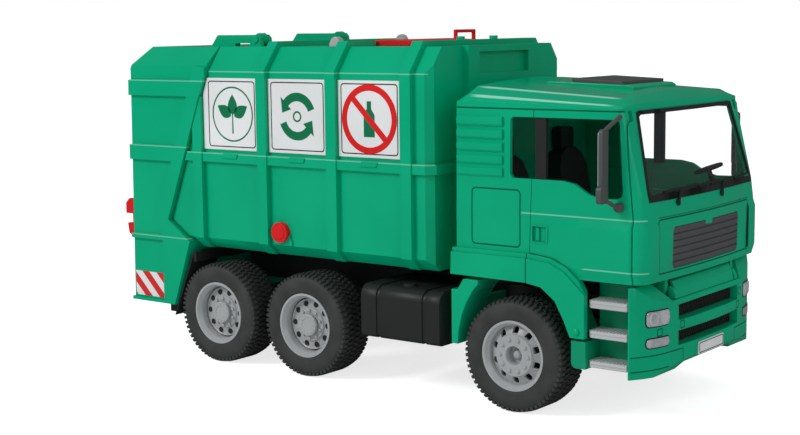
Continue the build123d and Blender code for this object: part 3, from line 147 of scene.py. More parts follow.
class Finish:
    """One node material under construction, with a Principled shader at its end."""

    def __init__(self, name):
        self.material = bpy.data.materials.new(name)
        self.material.use_nodes = True
        self.tree = self.material.node_tree
        self.tree.nodes.clear()
        self.shader = self.tree.nodes.new("ShaderNodeBsdfPrincipled")
        self.end = self.tree.nodes.new("ShaderNodeOutputMaterial")
        self.tree.links.new(self.shader.outputs[0], self.end.inputs[0])

    def feed(self, socket, value):
        """Links a worked out value to a socket, or sets a plain one."""
        if isinstance(value, Value):
            self.tree.links.new(value.socket, socket)
        else:
            socket.default_value = value

    def node(self, kind, settings=None, inputs=None, output=0):
        """Adds a node: its settings first, then its sockets. Gives back one of its outputs."""
        made = self.tree.nodes.new(kind)
        for key, value in (settings or {}).items():
            setattr(made, key, value)
        for key, value in (inputs or {}).items():
            self.feed(made.inputs[key], value)
        return Value(self, made.outputs[output])

    def surface(self, **sockets):
        """Sets or links the Principled shader's sockets, named with underscores for spaces."""
        for name, value in sockets.items():
            self.feed(self.shader.inputs[name.replace("_", " ")], value)

    def place(self):
        """The point on the piece, as three Values in metres."""
        point = self.node("ShaderNodeTexCoord", output="Object")
        parts = self.node("ShaderNodeSeparateXYZ", inputs={0: point})
        return [Value(self, socket) for socket in parts.socket.node.outputs]

    def noise(self, scale, detail=3.0):
        """Soft random value between 0 and 1."""
        point = self.node("ShaderNodeTexCoord", output="Object")
        return self.node("ShaderNodeTexNoise", None, {"Vector": point, "Scale": scale, "Detail": detail})

    def blend(self, factor, first, second):
        """Mixes two colours."""
        return self.node("ShaderNodeMix", {"data_type": "RGBA"}, {0: factor, 6: first, 7: second}, output=2)

    def relief(self, height, depth):
        """Bump normal from a height between 0 and 1, whose full step is depth metres."""
        return self.node("ShaderNodeBump", None, {"Height": height, "Distance": depth})


def shade(colour, factor):
    """A colour made darker or lighter, with its alpha."""
    return (*[min(1.0, part * factor) for part in colour[:3]], 1.0)


# Lines drawn in the plastic, in metres
LINE_DEPTH = 0.0004
LINE_HALF = 0.0004
THIN_HALF = 0.0003
ROOF_SEAM = 0.2095
# Middles of the bumper's square covers, across and up, and half their size
BUMPER_COVERS = ((-0.0670, 0.0640), (-0.0410, 0.0657), (0.0465, 0.0652), (0.0670, 0.0640))
COVER_HALF = (0.0022, 0.0024)
HAZARD_PITCH = 0.017
# Pale green of the painted highlights on creases that catch the light
HIGHLIGHT_GREEN = (0.5, 0.9, 0.75, 1.0)
# Scales of the flow marks and the grain in the plastic
FLOW_SCALE = 14.0
GRAIN_SCALE = 1400.0


def moulded(name, colour, roughness, coat=0.0, grain=0.00003, lines=None, painted_highlight=None, gloss=0.3):
    """Injection moulded plastic with faint flow marks, uneven gloss and a fine grain.

    lines gives a mask of grooves, cut in by bump and darkened with painted shade; the second mask gives creases
    that get a painted highlight.
    """
    finish = Finish(name)
    cloud = finish.noise(FLOW_SCALE, 2.0)
    fine = finish.noise(GRAIN_SCALE, 2.0)
    paint = finish.blend(cloud.step(0.25, 0.75), shade(colour, 0.94), shade(colour, 1.05))
    height, depth = fine * 0.5 + cloud * 0.2, grain
    # Painted highlight: creases that catch the light are mixed towards pale green
    if painted_highlight is not None:
        paint = finish.blend(painted_highlight(finish), paint, HIGHLIGHT_GREEN)
    if lines is not None:
        groove = lines(finish)
        # Painted shade: the grooves are darkened as if shade fell in them, besides their bump
        paint = finish.blend(groove, paint, shade(colour, 0.28))
        height, depth = height * (grain / LINE_DEPTH) - groove, LINE_DEPTH
    finish.surface(
        Base_Color=paint,
        Roughness=roughness + (cloud - 0.5) * 0.08 + fine * 0.04,
        Normal=finish.relief(height, depth),
        Coat_Weight=coat,
        Coat_Roughness=0.12,
        Specular_IOR_Level=gloss,
    )
    return finish.material


def ring_of(distance, half=LINE_HALF):
    """1 on a line of a given half width, where distance is 0."""
    return abs(distance).step(half * 1.6, half * 0.6)


def frame_line(a, b, low, high, radius, half=LINE_HALF):
    """Rounded rectangular outline in the plane of two Values, corners in metres."""
    past_a = abs(a - (low[0] + high[0]) / 2) - ((high[0] - low[0]) / 2 - radius)
    past_b = abs(b - (low[1] + high[1]) / 2) - ((high[1] - low[1]) / 2 - radius)
    out_a, out_b = past_a.most(0.0), past_b.most(0.0)
    outside = (out_a * out_a + out_b * out_b).root()
    inside = past_a.most(past_b).least(0.0)
    return ring_of(outside + inside - radius, half)


def roof_seam(finish):
    """Groove, darkened with painted shade, where the roof meets the cab's sides."""
    _, y, z = finish.place()
    return ring_of(z - ROOF_SEAM) * abs(y).step(0.0825, 0.084)


def cab_side_lines(finish):
    """Lines of the cab's shell: access panels, split flares, service hatch and roof seam."""
    x, y, z = finish.place()
    low, high = spot(-34.9, 0, 115.5), spot(4.5, 0, 154.5)
    panel = frame_line(x, z, (low.x, low.z), (high.x, high.z), 0.003)
    split = ring_of(x - forward(11.3), THIN_HALF) * z.step(0.1125, 0.1115)
    hatch = frame_line(y, z, (-0.0685, 0.1025), (0.0685, 0.1385), 0.003) * x.step(forward(88), forward(90))
    return (abs(y).step(0.084, 0.0855) * panel.most(split)).most(hatch).most(roof_seam(finish))


def cab_crease_highlights(finish):
    """Painted highlights on the creases along the cab's sides: below the belt and above the wheel arch."""
    x, y, z = finish.place()
    side = abs(y).step(0.0805, 0.082) * x.step(forward(99.5), forward(98.5))
    high = ring_of(z - 0.1394) * x.step(forward(4.5), forward(6.5))
    low = ring_of(z - 0.1052) * x.step(forward(52), forward(56))
    return high.most(low) * side * 0.45


def level_crease_highlights(*levels):
    """Painted highlights on level creases of the outer faces of a box, at heights in metres."""
    def painted_highlight(finish):
        _, y, z = finish.place()
        marks = ring_of(z - levels[0])
        for level in levels[1:]:
            marks = marks.most(ring_of(z - level))
        return marks * abs(y).step(0.0855, 0.0865) * 0.35
    return painted_highlight


def roof_crest_highlights(finish):
    """Painted highlights along the crests of the roof's edge."""
    x, y, _ = finish.place()
    across = abs(y)
    crests = ring_of(across - 0.0732, 0.0011).most(ring_of(across - 0.0846, 0.0006))
    return crests * x.step(forward(76), forward(66)) * x.step(forward(-40), forward(-30)) * 0.7


def bumper_lines(finish):
    """Corner lines, small square covers and the round one of the bumper's front."""
    x, y, z = finish.place()
    across = abs(y)
    corner = ring_of(z - 0.0492, THIN_HALF) * across.step(0.0395, 0.0400)
    edge = ring_of(across - 0.0400, THIN_HALF) * z.step(0.0495, 0.0490)
    low = ring_of(z - 0.0395, THIN_HALF) * across.step(0.0565, 0.0570)
    marks = corner.most(edge).most(low)
    wide, high = COVER_HALF
    for middle_y, middle_z in BUMPER_COVERS:
        near, far = (middle_y - wide, middle_z - high), (middle_y + wide, middle_z + high)
        marks = marks.most(frame_line(y, z, near, far, 0.0006, THIN_HALF))
    from_y, from_z = y - 0.0500, z - 0.0745
    ring = ring_of((from_y * from_y + from_z * from_z).root() - 0.0026, THIN_HALF)
    return marks.most(ring) * x.step(forward(89), forward(90))


def rubber(name, colour):
    """Tyre rubber: dull, dusty grey with fine moulded ribs on the side walls."""
    finish = Finish(name)
    cloud = finish.noise(60.0, 4.0)
    fine = finish.noise(2200.0, 2.0)
    x, _, z = finish.place()
    radius = (x * x + z * z).root()
    wall = radius.step(0.026, 0.0265) * radius.step(0.0305, 0.030)
    ribs = radius.waves(0.0016).step(0.55, 0.9) * wall
    finish.surface(
        Base_Color=finish.blend(cloud.step(0.3, 0.75), shade(colour, 0.85), shade(colour, 1.25)),
        Roughness=0.62 + cloud * 0.14,
        Normal=finish.relief(fine * 0.4 + ribs, 0.00012),
        Specular_IOR_Level=0.4,
    )
    return finish.material


def clear_plastic(name):
    """Thin clear plastic with a faint wave in it."""
    finish = Finish(name)
    wave = finish.noise(30.0, 1.0)
    finish.surface(
        Base_Color=(0.25, 0.27, 0.27, 1.0),
        Roughness=0.04 + wave * 0.03,
        Alpha=0.05 + wave * 0.03,
        Normal=finish.relief(wave, 0.0001),
    )
    return finish.material


def hazard_print(name, first, second):
    """Smooth sticker with slanted stripes of two colours."""
    finish = Finish(name)
    grain = finish.noise(900.0)
    x, y, z = finish.place()
    stripe = (x + abs(y) + z).waves(HAZARD_PITCH).step(0.48, 0.52)
    finish.surface(
        Base_Color=finish.blend(stripe, (*first, 1.0), (*second, 1.0)),
        Roughness=0.3 + grain * 0.08,
        Normal=finish.relief(grain, 0.00001),
    )
    return finish.material


def chrome_lens(name, colour):
    """Bright lamp reflector behind a ribbed lens."""
    finish = Finish(name)
    ribs = finish.place()[1].waves(0.0024)
    cloud = finish.noise(90.0)
    finish.surface(
        Base_Color=finish.blend(cloud.step(0.3, 0.7), shade(colour, 0.75), shade(colour, 1.15)),
        Roughness=0.22 + cloud * 0.08,
        Metallic=0.35,
        Normal=finish.relief(ribs, 0.0003),
        Coat_Weight=0.6,
        Coat_Roughness=0.05,
    )
    return finish.material


# Geometry


class Moulding:
    """Collects the solids of one piece and turns them into an object that rides on a body."""

    def __init__(self):
        self.mesh = bmesh.new()

    def prism(self, near, far):
        """Solid between two outlines of the same number of points."""
        low = [self.mesh.verts.new(point) for point in near]
        high = [self.mesh.verts.new(point) for point in far]
        faces = [self.mesh.faces.new(low[::-1]), self.mesh.faces.new(high)]
        for index in range(len(low)):
            after = (index + 1) % len(low)
            faces.append(self.mesh.faces.new((low[index], low[after], high[after], high[index])))
        bmesh.ops.recalc_face_normals(self.mesh, faces=faces)
        return self

    def slab(self, outline, axis, low, high):
        """Solid of an outline in millimetres: axis y takes (x, z), z takes (x, y) and x takes (y, z)."""
        place = "xyz".index(axis)
        faces = []
        for level in (low, high):
            corners = [list(corner) for corner in outline]
            for corner in corners:
                corner.insert(place, level)
            faces.append([spot(*corner) for corner in corners])
        return self.prism(*faces)

    def band(self, outer, inner, axis, low, high, closed=True):
        """Flat band between two lines of points, in millimetres as for slab."""
        count = len(outer)
        for index in range(count if closed else count - 1):
            after = (index + 1) % count
            self.slab([outer[index], outer[after], inner[after], inner[index]], axis, low, high)
        return self

    def block(self, x, y, z):
        """Block between three pairs of limits in millimetres."""
        return self.slab([(x[0], z[0]), (x[1], z[0]), (x[1], z[1]), (x[0], z[1])], "y", *y)

    def lathe(self, profile, centre, axis, steps=32):
        """Turned solid: (radius, reach) in millimetres along an axis from a centre in metres."""
        axis = Vector(axis).normalized()
        side = axis.orthogonal().normalized()
        other = axis.cross(side)
        rings = []
        for radius, reach in profile:
            middle = centre + axis * reach * MM
            if radius <= 0:
                rings.append([self.mesh.verts.new(middle)])
                continue
            turns = [2 * math.pi * index / steps for index in range(steps)]
            rings.append([
                self.mesh.verts.new(middle + (side * math.cos(turn) + other * math.sin(turn)) * radius * MM)
                for turn in turns
            ])
        faces = []
        for first, second in zip(rings, rings[1:]):
            for index in range(steps):
                after = (index + 1) % steps
                places = ((first, index), (first, after), (second, after), (second, index))
                corners = list(dict.fromkeys(ring[place % len(ring)] for ring, place in places))
                if len(corners) > 2:
                    faces.append(self.mesh.faces.new(corners))
        for ring in (rings[0], rings[-1]):
            if len(ring) > 1 and rings[0] is not rings[-1]:
                faces.append(self.mesh.faces.new(ring))
        bmesh.ops.recalc_face_normals(self.mesh, faces=faces)
        return self

    def rod(self, start, end, radius, steps=12):
        """Round rod between two places in millimetres."""
        first, last = spot(*start), spot(*end)
        length = (last - first).length / MM
        return self.lathe([(radius, 0), (radius, length)], first, last - first, steps)

    def mirrored(self):
        """Adds the twin of everything so far on the truck's other side."""
        everything = self.mesh.verts[:] + self.mesh.edges[:] + self.mesh.faces[:]
        twin = bmesh.ops.duplicate(self.mesh, geom=everything)["geom"]
        for item in twin:
            if isinstance(item, bmesh.types.BMVert):
                item.co.y = -item.co.y
        bmesh.ops.reverse_faces(self.mesh, faces=[item for item in twin if isinstance(item, bmesh.types.BMFace)])
        return self

    def placed(self, name, finish):
        """Ends the mesh and puts it in the scene as an object."""
        data = bpy.data.meshes.new(name)
        self.mesh.to_mesh(data)
        self.mesh.free()
        data.materials.append(finish)
        obj = bpy.data.objects.new(name, data)
        bpy.context.scene.collection.objects.link(obj)
        return obj

    def piece(self, name, body, finish, edge=0.0, smooth=True, instead_of=None):
        """Makes one piece of a finish, with its edges rounded by edge millimetres, that rides on a body."""
        obj = self.placed(name, finish_of(finish))
        if smooth:
            obj.data.shade_smooth()
            obj.data.set_sharp_from_angle(angle=math.radians(SHARP_ANGLE))
        if edge:
            round_edges(obj, edge, SHARP_ANGLE)
        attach(obj, body)
        if instead_of:
            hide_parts(instead_of)


# Edges of the added pieces that are sharper than this many degrees stay sharp in shading, or are rounded
SHARP_ANGLE = 35


def round_edges(obj, width, angle):
    """Rounds the edges of an object that are sharper than an angle in degrees, by width millimetres."""
    bevel = obj.modifiers.new("Round edges", "BEVEL")
    bevel.width = width * MM
    bevel.segments = 2
    bevel.limit_method = "ANGLE"
    bevel.angle_limit = math.radians(angle)
    bevel.harden_normals = True


def round_rect(low, high, radius, steps=4):
    """Rounded rectangle as a list of points."""
    near, far = (low[0] + radius, low[1] + radius), (high[0] - radius, high[1] - radius)
    middles = (far, (near[0], far[1]), near, (far[0], near[1]))
    points = []
    for quarter, middle in enumerate(middles):
        points += circle(middle, radius, steps, 90 * quarter, 90)
    return points


def fine_loop(points, pieces):
    """The same closed loop of points with every side cut into equal pieces."""
    sides = zip(points, points[1:] + points[:1])
    return [
        (a + (c - a) * (step / pieces), b + (d - b) * (step / pieces))
        for (a, b), (c, d) in sides for step in range(pieces)
    ]


# Cab front. Columns: height, corner's place forward and across, middle's place forward
NOSE = (
    (97.5, 97.5, 78.5, 101.0), (139.0, 98.0, 78.5, 102.0),
    (153.0, 96.5, 77.5, 100.5), (209.5, 82.0, 79.5, 84.5),
)


def nose_x(y, z):
    """How far forward the cab's front reaches at a place across and a height."""
    for low, high in zip(NOSE, NOSE[1:]):
        share = (z - low[0]) / (high[0] - low[0])
        if share <= 1.0:
            break
    corner, across, middle = (low[part] + (high[part] - low[part]) * share for part in (1, 2, 3))
    return middle - (middle - corner) * (y / across) ** 2


def circle(centre, radius, steps=40, start=0.0, sweep=360.0):
    """Points on a circle or arc."""
    count = steps if sweep == 360.0 else steps + 1
    turns = [math.radians(start + sweep * index / steps) for index in range(count)]
    return [(centre[0] + radius * math.cos(turn), centre[1] + radius * math.sin(turn)) for turn in turns]


# Settings


def colour_setting(name, description, *default):
    """One colour that a user may change."""
    return FloatVectorProperty(
        name=name, description=description, subtype="COLOR", size=3, min=0, max=1, default=default,
    )


class TruckPaint(bpy.types.PropertyGroup):
    """Colours of the truck's mouldings, rubber and stickers."""

    green: colour_setting("Body green", "Colour of the body mouldings", 0.0, 0.45, 0.222)
    red: colour_setting("Signal red", "Colour of the lid, lift and knobs", 0.82, 0.012, 0.012)
    silver: colour_setting("Rim silver", "Colour of the rims and roof lugs", 0.46, 0.47, 0.475)
    tread: colour_setting("Step grey", "Colour of the step treads", 0.6, 0.61, 0.61)
    black: colour_setting("Trim black", "Colour of the dark trim", 0.026, 0.027, 0.027)
    grille: colour_setting("Grille grey", "Colour of the grille and the mirrors", 0.095, 0.097, 0.097)
    tyre: colour_setting("Tyre grey", "Colour of the tyre rubber", 0.05, 0.052, 0.05)
    white: colour_setting("Sign white", "Colour of the signs and plates", 0.9, 0.9, 0.9)
    hazard_red: colour_setting("Hazard red", "Red of the warning stripes", 0.78, 0.02, 0.02)
    print_green: colour_setting("Print green", "Green of the printed signs", 0.0, 0.2, 0.08)
    lens: colour_setting("Lamp lens", "Colour of the lamp units", 0.72, 0.73, 0.74)


class TruckSizes(bpy.types.PropertyGroup):
    """Sizes of the trim that a user may want to change."""

    edge: FloatProperty(
        name="Edge rounding", description="Rounding of the mouldings' edges, in millimetres",
        default=0.6, min=0.05, max=1.5,
    )
    tread_depth: FloatProperty(
        name="Tread depth", description="Depth of the tyre grooves, in millimetres", default=1.5, min=0.3, max=3.0,
    )
    tread_pitch: IntProperty(
        name="Tread blocks", description="Blocks round each row of the tread", default=60, min=20, max=80,
    )
    lamp_power: FloatProperty(
        name="Key light", description="Power of the main studio light", default=14.0, min=0.0, unit="POWER",
    )


def paint():
    """The colour settings in use."""
    return bpy.context.scene.truck_paint


def sizes():
    """The size settings in use."""
    return bpy.context.scene.truck_sizes


MADE = {}


def body_green(name, lines=None, painted_highlight=None):
    """Green of the large mouldings, with the grooves in painted shade and the painted crease highlights of one of
    them.
    """
    return moulded(name, paint().green, roughness=0.17, lines=lines, painted_highlight=painted_highlight, gloss=0.26)


def finish_of(name):
    """The named material, made once from the colour settings."""
    colours = paint()
    recipes = {
        "green": lambda: body_green("moulded_green"),
        "box_green": lambda: body_green("box_green", painted_highlight=level_crease_highlights(0.1679, 0.2319)),
        "tail_green": lambda: body_green("tail_green", painted_highlight=level_crease_highlights(0.0972, 0.1713, 0.2243)),
        "cab_green": lambda: body_green("cab_green", cab_side_lines, cab_crease_highlights),
        "door_green": lambda: body_green("door_green", roof_seam, cab_crease_highlights),
        "roof_green": lambda: body_green("roof_green", roof_seam, roof_crest_highlights),
        "bumper_green": lambda: body_green("bumper_green", bumper_lines),
        "dark_green": lambda: moulded("shaded_green", shade(colours.green, 0.75), 0.3),
        "grille": lambda: moulded("grille_grey", colours.grille, 0.35),
        "red": lambda: moulded("moulded_red", colours.red, 0.28, 0.05),
        "silver": lambda: moulded("moulded_silver", colours.silver, 0.3, 0.1, gloss=0.5),
        "tread": lambda: moulded("tread_grey", colours.tread, 0.35),
        "black": lambda: moulded("grained_black", colours.black, 0.42, grain=0.00008),
        "chassis": lambda: moulded("chassis_black", shade(colours.black, 0.9), 0.5, grain=0.00008),
        "white": lambda: moulded("sign_white", colours.white, 0.28),
        "print_green": lambda: moulded("print_green", colours.print_green, 0.35),
        "print_red": lambda: moulded("print_red", colours.red, 0.3),
        "lens": lambda: chrome_lens("lamp_lens", colours.lens),
        "rubber": lambda: rubber("tyre_rubber", colours.tyre),
        "clear": lambda: clear_plastic("clear_plastic"),
        "mirror": lambda: moulded("mirror_face", (0.62, 0.64, 0.66), 0.1, 0.6, grain=0.00001),
        "hazard": lambda: hazard_print("hazard_stripes", colours.white, colours.hazard_red),
    }
    if name not in MADE:
        MADE[name] = recipes[name]()
    return MADE[name]


# Nodes of the frame by their finish
NODE_FINISH = {
    "chassis": ("ladder_frame", "front_axle", "rear_axles", "engine_block"),
    "black": (
        "fuel_tank", "side_tank", "mudflaps", "bumper_mesh", "underrun_bar", "roof_hatch", "dashboard",
        "steering_wheel", "seats", "door_post_right", "door_post_left", "door_mirror_right", "door_mirror_left",
    ),
    "green": ("mudguards", "step_flap"),
    "dark_green": ("step_wells",),
    "box_green": ("container",),
    "tail_green": ("tailgate",),
    "cab_green": ("cab_shell",),
    "door_green": ("door_right", "door_left"),
    "roof_green": ("cab_roof",),
    "bumper_green": ("front_bumper",),
    "lens": ("headlamps",),
    "tread": ("step_treads",),
    "white": ("sign_panels",),
    "red": ("side_knobs", "roof_lid", "bin_lift"),
    "silver": ("roof_lugs", *(f"rim_{axle}_{side}" for axle, side in WHEELS)),
    "clear": ("windscreen",),
    "grille": ("grille",),
}
SHARP_NODES = ("windscreen", "sign_panels")
# Edges of the frame are rounded from this many degrees on
NODE_ANGLE = 28
ROOF_ANGLE = 14
WELD_REACH = 0.00001


class TRUCK_OT_mouldings(bpy.types.Operator):
    """Gives every moulded part of the frame its finish and rounds its edges"""

    bl_idname = "truck.mouldings"
    bl_label = "Finish the mouldings"

    def execute(self, context):
        for finish, nodes in NODE_FINISH.items():
            for name in nodes:
                self.dress(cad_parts[name], finish_of(finish))
        return {"FINISHED"}

    def dress(self, obj, material):
        """Sets the finish on one node, and rounds its edges."""
        for slot in obj.material_slots:
            slot.link = "OBJECT"
            slot.material = material
        if obj.name not in SHARP_NODES:
            obj.modifiers.new("Weld", "WELD").merge_threshold = WELD_REACH
            round_edges(obj, sizes().edge, ROOF_ANGLE if obj.name == "cab_roof" else NODE_ANGLE)


TYRE_RADIUS = 40.0
# Side wall and tread base: radius, place across from the middle
TYRE_WALL = (
    (22.5, 12.6), (23.6, 13.4), (25.0, 14.9), (26.2, 15.3), (27.5, 15.35), (30.0, 15.8), (33.0, 16.0),
    (35.4, 15.7), (36.6, 15.2), (37.6, 14.4),
)
TREAD_HALF = 13.6
TYRE_STEPS = 96
TYRE_WELD = 1e-7
# Edges of the rubber that are sharper than this many degrees stay sharp
TYRE_ANGLE = 32
# Rows of the tread: middle across, half width, slant of the blocks
TREAD_ROWS = ((-12.6, 2.3, 0.15), (-6.6, 2.5, 0.45), (0.0, 2.7, -0.45), (6.6, 2.5, 0.45), (12.6, 2.3, 0.15))
# Share of the pitch that a block fills, how deep it stands in the base, and how much it narrows to its top
BLOCK_SHARE = 0.62
BLOCK_FOOT = 0.6
BLOCK_TAPER = 0.12
# Blocks that reach further across than this lean over the shoulder
SHOULDER = 13


class TRUCK_OT_tyres(bpy.types.Operator):
    """Builds the six tyres with their side walls and block tread"""

    bl_idname = "truck.tyres"
    bl_label = "Build the tyres"

    def execute(self, context):
        data = self.tyre()
        for axle, side in WHEELS:
            node = f"tyre_{axle}_{side}"
            obj = bpy.data.objects.new(f"treaded_{node}", data)
            context.scene.collection.objects.link(obj)
            obj.location = middle_of(node)
            if side == "left":
                obj.rotation_euler.z = math.pi
            context.view_layer.update()
            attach(obj, f"wheel_{axle}_{side}")
            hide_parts(node)
        return {"FINISHED"}

    def tyre(self):
        """Mesh of one tyre about the origin."""
        shape = Moulding()
        base = TYRE_RADIUS - sizes().tread_depth
        profile = [*TYRE_WALL, (base, TREAD_HALF), (base, -TREAD_HALF)]
        profile += [(radius, -y) for radius, y in reversed(TYRE_WALL)]
        shape.lathe([*profile, profile[0]], Vector((0, 0, 0)), (0, 1, 0), TYRE_STEPS)
        count = sizes().tread_pitch
        for number, row in enumerate(TREAD_ROWS):
            for index in range(count):
                self.block(shape, base, row, (index + 0.5 * (number % 2)) / count, BLOCK_SHARE / count)
        bmesh.ops.remove_doubles(shape.mesh, verts=shape.mesh.verts, dist=TYRE_WELD)
        data = bpy.data.meshes.new("tyre")
        shape.mesh.to_mesh(data)
        shape.mesh.free()
        data.materials.append(finish_of("rubber"))
        data.shade_smooth()
        data.set_sharp_from_angle(angle=math.radians(TYRE_ANGLE))
        return data

    def block(self, shape, base, row, turn, width):
        """One block of the tread, which leans over the shoulder in the outer rows."""
        middle, half, slant = row
        rings = []
        for lift in (0.0, 1.0):
            ring = []
            for across, along in ((-1, -1), (1, -1), (1, 1), (-1, 1)):
                y = middle + half * across
                radius = (base - BLOCK_FOOT) + lift * (TYRE_RADIUS - base + BLOCK_FOOT)
                if abs(y) > SHOULDER:
                    radius, y = 36.8 + lift * 2.2, math.copysign(15.0 + lift * 0.4, y)
                shrink = 1.0 - BLOCK_TAPER * lift
                angle = 2 * math.pi * (turn + width * (0.5 * along * shrink + slant * 0.5 * across))
                ring.append(Vector((radius * math.cos(angle), y, radius * math.sin(angle))) * MM)
            rings.append(ring)
        shape.prism(*rings)


# Turned parts of the rims. Columns: profile, radius of their ring, count, depth behind the lip, steps, first turn
FRONT_NUTS = (([(0, -0.5), (1.5, -0.5), (1.5, 0.5), (1.2, 1.1), (0, 1.45)], 11.3, 10, 2.0, 12, 0.0),)
REAR_HUB = (
    ([(0, -1), (8.6, -1), (8.6, 0.6), (8.1, 1.1), (5.2, 1.1), (4.8, 0.7), (0, 0.7)], 0, 1, 4.2, 36, 0.0),
    ([(0, -0.5), (0.7, -0.5), (0.65, 0.4), (0, 0.55)], 6.7, 12, 3.2, 8, 0.0),
    (
        [(0, -3.0), (19.6, -3.0), (19.6, -1.0), (18.6, -1.5), (13.6, -0.6), (12.8, 0.6), (9.0, 0.9), (0, 0.9)],
        0, 1, 7.5, 48, 0.0,
    ),
    ([(0, -0.5), (1.2, -0.5), (1.1, 1.2), (0.5, 1.5), (0, 1.5)], 10.9, 10, 6.6, 10, 0.5),
)
# Black discs on the rear rims' dish: painted shade standing in for its round holes
REAR_HOLE_SHADES = (([(0, -0.6), (2.2, -0.6), (2.2, 0.45), (0, 0.45)], 16.1, 10, 8.55, 20, 0.0),)


class TRUCK_OT_wheel_trim(bpy.types.Operator):
    """Adds the nuts, hub covers, discs and studs to the rims"""

    bl_idname = "truck.wheel_trim"
    bl_label = "Build the wheel trim"

    def execute(self, context):
        for axle, side in WHEELS:
            if axle != "front":
                self.turned(REAR_HOLE_SHADES, axle, side, "rim_hole_shades", "black")
            self.turned(FRONT_NUTS if axle == "front" else REAR_HUB, axle, side, "wheel_trim", "silver")
        return {"FINISHED"}

    def turned(self, parts, axle, side, name, finish):
        """Turned parts in rings on the outer face of one rim."""
        rim = f"rim_{axle}_{side}"
        middle = middle_of(rim)
        sign = dict(SIDES)[side]
        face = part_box(rim)[(sign + 1) // 2][1]
        shape = Moulding()
        for profile, radius, count, inset, steps, first in parts:
            for index in range(count):
                angle = 2 * math.pi * (index + first) / count
                place = Vector((
                    middle.x + radius * MM * math.cos(angle),
                    face - sign * inset * MM,
                    middle.z + radius * MM * math.sin(angle),
                ))
                shape.lathe(profile, place, (0, sign, 0), steps)
        shape.piece(f"{name}_{axle}_{side}", f"wheel_{axle}_{side}", finish)


# White fields of the signs: rear edge, front edge, what the tailgate's slant takes from the border
SIGNS = ((-291.0, -233.2, 3.0), (-222.0, -164.2, 0), (-153.0, -95.2, 0))
SIGN_FACE = 88.8
SIGN_MIDDLE = 199.0
PRINT = 0.12
# Border: its inset from the field's ends, lower and upper edge, width and corner radius
BORDER_INSET, BORDER_LOW, BORDER_HIGH, BORDER_WIDTH, BORDER_CORNER = 2.6, 173.2, 224.8, 0.8, 2.6
# Leaves: place of the badge's middle ahead of the field's, foot, start, length and half width
LEAF_SHIFT, LEAF_FOOT, LEAF_START, LEAF_LENGTH, LEAF_HALF = 2.5, 196.5, 2.0, 16.0, 4.8
LEAF_STEPS = 16
STEM = ((-0.7, 184.0), (0.7, 184.0), (0.5, 199.0), (-0.5, 199.0))
# Arrows: radii of the band, its sweep, then radius and turn of the head's corners
ARROW_RADII, ARROW_SWEEP = (18.0, 11.6), 118
ARROW_HEAD = ((21.6, 118), (15.0, 150), (8.0, 118))
BAR_REACH, BAR_HALF = 21.5, 2.3
BOTTLE = ((-5, -13), (5, -13), (5, 3), (2, 7.5), (2, 13), (-2, 13), (-2, 7.5), (-5, 3))


class TRUCK_OT_signs(bpy.types.Operator):
    """Prints the borders and the plain pictures on the side signs"""

    bl_idname = "truck.signs"
    bl_label = "Print the signs"

    def execute(self, context):
        for side, sign in SIDES:
            green, red, border = Moulding(), Moulding(), Moulding()
            for (rear, front, slant), picture in zip(SIGNS, (self.leaf, self.cycle, self.prohibition)):
                outer, inner = (
                    round_rect(
                        (rear + BORDER_INSET + slant + step, BORDER_LOW + step),
                        (front - BORDER_INSET - step, BORDER_HIGH - step), radius,
                    )
                    for step, radius in ((0, BORDER_CORNER), (BORDER_WIDTH, 2.0))
                )
                border.band(outer, inner, "y", *self.print_depth(sign))
                picture(green, red, (rear + front) / 2, sign)
            green.piece(f"sign_prints_{side}", "chassis", "print_green", smooth=False)
            border.piece(f"sign_borders_{side}", "chassis", "black", smooth=False)
            red.piece(f"sign_ring_{side}", "chassis", "print_red", smooth=False)
        return {"FINISHED"}

    def print_depth(self, sign, lift=PRINT):
        """Both faces of a thin print on the signs of one side."""
        return sorted((sign * SIGN_FACE, sign * (SIGN_FACE + lift)))

    def leaf(self, green, red, middle, sign):
        """Three slim leaves on a stem inside a ring."""
        middle += LEAF_SHIFT
        centre = (middle, SIGN_MIDDLE)
        depth = self.print_depth(sign)
        green.band(circle(centre, 21.5), circle(centre, 20.3), "y", *depth)
        half = [
            (LEAF_START + LEAF_LENGTH * share, LEAF_HALF * math.sin(math.pi * share ** 0.8))
            for share in (step / LEAF_STEPS for step in range(LEAF_STEPS + 1))
        ]
        points = half + [(along, -bulge) for along, bulge in reversed(half[1:-1])]
        for angle in (30, 90, 150):
            across, up = math.cos(math.radians(angle)), math.sin(math.radians(angle))
            green.slab([
                (middle + along * across - bulge * up, LEAF_FOOT + along * up + bulge * across)
                for along, bulge in points
            ], "y", *depth)
        green.slab([(middle + x, z) for x, z in STEM], "y", *depth)

    def cycle(self, green, red, middle, sign):
        """Two bent arrows that chase each other round a circle."""
        centre = (middle, SIGN_MIDDLE)
        depth = self.print_depth(sign)
        for start in (20, 200):
            outer, inner = (circle(centre, radius, 20, start, ARROW_SWEEP) for radius in ARROW_RADII)
            green.band(outer, inner, "y", *depth, closed=False)
            head = [circle(centre, radius, 1, start + turn)[0] for radius, turn in ARROW_HEAD]
            green.slab(head, "y", *depth)
        green.band(circle(centre, 4.2, 24), circle(centre, 2.9, 24), "y", *depth)

    def prohibition(self, green, red, middle, sign):
        """Red ring with a slanted bar over a plain bottle."""
        centre = (middle, SIGN_MIDDLE)
        red.band(circle(centre, 25.3, 64), circle(centre, 20.6, 64), "y", *self.print_depth(sign, 0.16))
        turn = math.radians(-45 if sign < 0 else -135)
        x, z = math.cos(turn), math.sin(turn)
        red.slab([
            (centre[0] + x * reach - z * half, centre[1] + z * reach + x * half)
            for reach, half in (
                (-BAR_REACH, -BAR_HALF), (BAR_REACH, -BAR_HALF), (BAR_REACH, BAR_HALF), (-BAR_REACH, BAR_HALF),
            )
        ], "y", *self.print_depth(sign, 0.18))
        green.slab([(centre[0] + x, centre[1] + z) for x, z in BOTTLE], "y", *self.print_depth(sign, 0.1))


